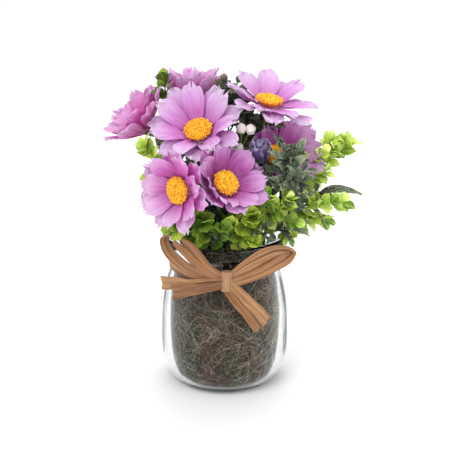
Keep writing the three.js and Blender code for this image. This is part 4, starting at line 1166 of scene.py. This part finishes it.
# Raffia strips, each a row of stations: angle round the jar from the front, height, distance from
# the axis, width, and how far the strip is turned on to its edge. The two folds lie inside the loops.
strips = {
    "leftLoop": [[0, 87, 44.8, 6.5, 0], [-16, 89.3, 45.4, 6.5, 0], [-28, 91.5, 46, 9, 0],
                 [-39, 96, 46.8, 8.5, 10], [-50, 101.5, 47.6, 7.5, 25], [-55, 107.5, 47.6, 6, 60],
                 [-50, 112, 47.4, 5, 85], [-38, 112.5, 47, 6, 60], [-28.5, 107.5, 46.4, 9, 15],
                 [-21.5, 100.5, 46, 9.5, 0], [-13.5, 93.5, 46, 8.5, 0], [0, 87, 46, 6, 0]],
    "rightLoop": [[0, 86.5, 45.2, 6, 0], [9, 91.5, 45.8, 6.5, 0], [18, 96.3, 46.2, 7.5, 0],
                  [30, 101, 46.8, 9, 0], [41, 102.8, 47.6, 9, 10], [51, 102.2, 49.5, 7.5, 40],
                  [58.5, 99, 51, 6.5, 80], [53, 96, 50.6, 7.5, 40], [43, 94.2, 49.6, 8.5, 5],
                  [31.7, 91.2, 48.4, 8, 0], [17, 87.5, 47, 6.5, 0], [0, 84, 45.8, 5, 0]],
    "leftTailHigh": [[0, 86.6, 46, 4.5, 0], [-15.8, 84.5, 46.6, 6, 0], [-28.8, 82.1, 47.2, 7, 0],
                     [-43.2, 80.3, 48, 8.5, 0], [-56.5, 77.5, 49.2, 9, 0]],
    "leftTailLow": [[0, 84.4, 46.8, 5, 0], [-15.5, 81.5, 47.4, 6.5, 0], [-28, 78.4, 48, 8, 0],
                    [-43.5, 74, 49, 9.5, 0]],
    "rightTailHigh": [[2, 85.5, 46.6, 5, 0], [9, 80.6, 46.8, 6, 0], [17.7, 72.5, 47, 6.8, 0],
                      [24.7, 66, 47.4, 7, 0], [35.2, 54.6, 48, 8.2, 0]],
    "rightTailLow": [[0, 84, 46, 5, 0], [4, 77.8, 46.2, 6, 0], [11.7, 69.5, 46.6, 6.5, 0],
                     [19.7, 60.5, 46.8, 6.5, 0], [28, 50, 47, 6.8, 0]],
    "rightFold": [[2, 86, 45, 5, 0], [14, 90.5, 46.6, 7, 0], [28, 95.4, 47.4, 9, 0], [40, 98.4, 48.2, 8, 0],
                  [50, 99.2, 49.6, 5, 0], [57, 98.6, 50.6, 3, 0]],
    "leftFold": [[-2, 86.6, 45, 5, 0], [-15, 91.5, 45.4, 7, 0], [-25, 98, 45.8, 6, 0], [-34, 104, 46.4, 5, 0],
                 [-44, 108.5, 46.8, 4, 0]],
}
raffia = {"rows": 12, "columns": 26, "thick": 0.4, "pleat": 0.75}
knot = {
    "x": 1.3, "y": -46, "height": 13.5, "middle": 86, "halfWidth": 3.8, "halfDepth": 2.3,
    "rows": 14, "sides": 40, "tieSpread": 1.4,
}
band = {"radius": 36.2, "thickness": 1, "from": 80.5, "to": 85.5, "thick": 0.3, "cells": (120, 8)}
straw = raffiaStraw()


def stationValue(stations, column, u):
    span = u * (len(stations) - 1)
    i = min(int(span), len(stations) - 2)
    return through([station[column] for station in neighbours(stations, i)], span - i)


def roundJar(angle, radius, z):
    return Vector((radius * math.sin(angle), -radius * math.cos(angle), z))


def addStrip(heap, stations, seed, loose):
    def place(u):
        angle, z, radius = [stationValue(stations, column, u) for column in range(3)]
        return roundJar(math.radians(angle), radius, z)

    def frameAt(u):
        ahead = (place(min(1, u + 0.01)) - place(max(0, u - 0.01))).normalized()
        outward = place(u)
        outward.z = 0
        outward.normalize()
        level = outward.cross(ahead).normalized()
        lean = math.radians(stationValue(stations, 4, u))
        width = level * math.cos(lean) + outward * math.sin(lean)
        return width, ahead.cross(width).normalized()

    def point(u, v):  # pleats run along the strip, and a loose end is frayed
        width, normal = frameAt(u)
        fray = loose * max(0, u - 0.9) * 10
        reach = u - 0.02 * fray * (1 + wobble(seed, round(v * 7)))
        broad = abs(math.sin(2.6 * v + 1.5 * wobble(seed, 1) + 0.5 * math.sin(3 * u + seed))) ** 0.7
        narrow = abs(math.sin(8 * v + 1.3 * u + seed)) ** 0.7
        pleats = raffia["pleat"] * (1.5 * broad + 0.7 * narrow - 1.2)
        pleats += 0.35 * noise.noise(Vector((3 * v, 7 * u, seed * 2.3)))
        edge = 1 + 0.05 * math.sin(17 * u + seed + (2 if v > 0 else 0))
        at = place(reach) + width * (v * stationValue(stations, 3, u) / 2 * edge)
        return at + normal * (0.5 * abs(v) + pleats * min(1, 4 * u if loose else 4 * min(u, 1 - u)))

    addSheet(heap, point, lambda u, v: frameAt(u)[1], steps(raffia["rows"] * (len(stations) - 1)),
             across(raffia["columns"]), raffia["thick"], wobble(seed, 9))


def knotStrap(heap):
    rings = []
    for k, t in enumerate(steps(knot["rows"])):
        pinch = (1 - 0.12 * math.sin(math.pi * t)) * (0.86 if k in (0, knot["rows"]) else 1)
        ring = []
        for j in range(knot["sides"]):
            angle = fullTurn * j / knot["sides"]
            ridge = 1 + 0.05 * math.sin(angle * 9 + 0.7 * math.sin(3 * t)) + 0.03 * math.sin(angle * 17 + 2)
            ring.append(Vector((knot["x"] + knot["halfWidth"] * pinch * ridge * math.cos(angle),
                                knot["y"] + knot["halfDepth"] * ridge * math.sin(angle),
                                knot["middle"] + knot["height"] * (t - 0.5))))
        rings.append(ring)
    addRings(heap, rings, 0.3, uvScale=(10, 0.7))


bowHeap = newHeap()
for index, (stripName, stations) in enumerate(strips.items()):
    addStrip(bowHeap, stations, index + 1, 1.0 if "Tail" in stripName else 0.0)
knotStrap(bowHeap)
tieStart, tieHeight = -band["radius"] - band["thickness"] - clearance, (band["from"] + band["to"]) / 2
tiePath = [(tieStart, 1.3), ((tieStart + knot["y"]) / 2, 1.4), (knot["y"], 1.3)]
for side in (-knot["tieSpread"], knot["tieSpread"]):  # two short twists from the band into the knot
    addTube(bowHeap, [Vector((knot["x"] + side, y, tieHeight)) for y, radius in tiePath],
            [radius for y, radius in tiePath], 8, 0.2, 0.0)
makePiece("raffiaTie", bowHeap, straw, "raffia", "raffia_bow", smooth=40)

bandHeap = newHeap()
for turn, (low, high) in enumerate(((band["from"], band["from"] + 2.9), (band["from"] + 2.2, band["to"]))):
    def bandPoint(u, v, low=low, high=high, turn=turn):
        angle = fullTurn * u
        z = mixed(low, high, (v + 1) / 2) + 0.25 * math.sin(5 * angle + turn)
        fold = 0.22 * math.sin(6 * v + turn + math.sin(angle * 3))
        return roundJar(angle, band["radius"] + 0.45 + 0.25 * turn + fold, z)

    addSheet(bandHeap, bandPoint, lambda u, v: roundJar(fullTurn * u, 1, 0), steps(band["cells"][0]),
             across(band["cells"][1]), band["thick"], wobble(turn, 4))
makePiece("raffiaBand", bandHeap, straw, "raffia", "raffia_band", smooth=40)
print("raffia tied")
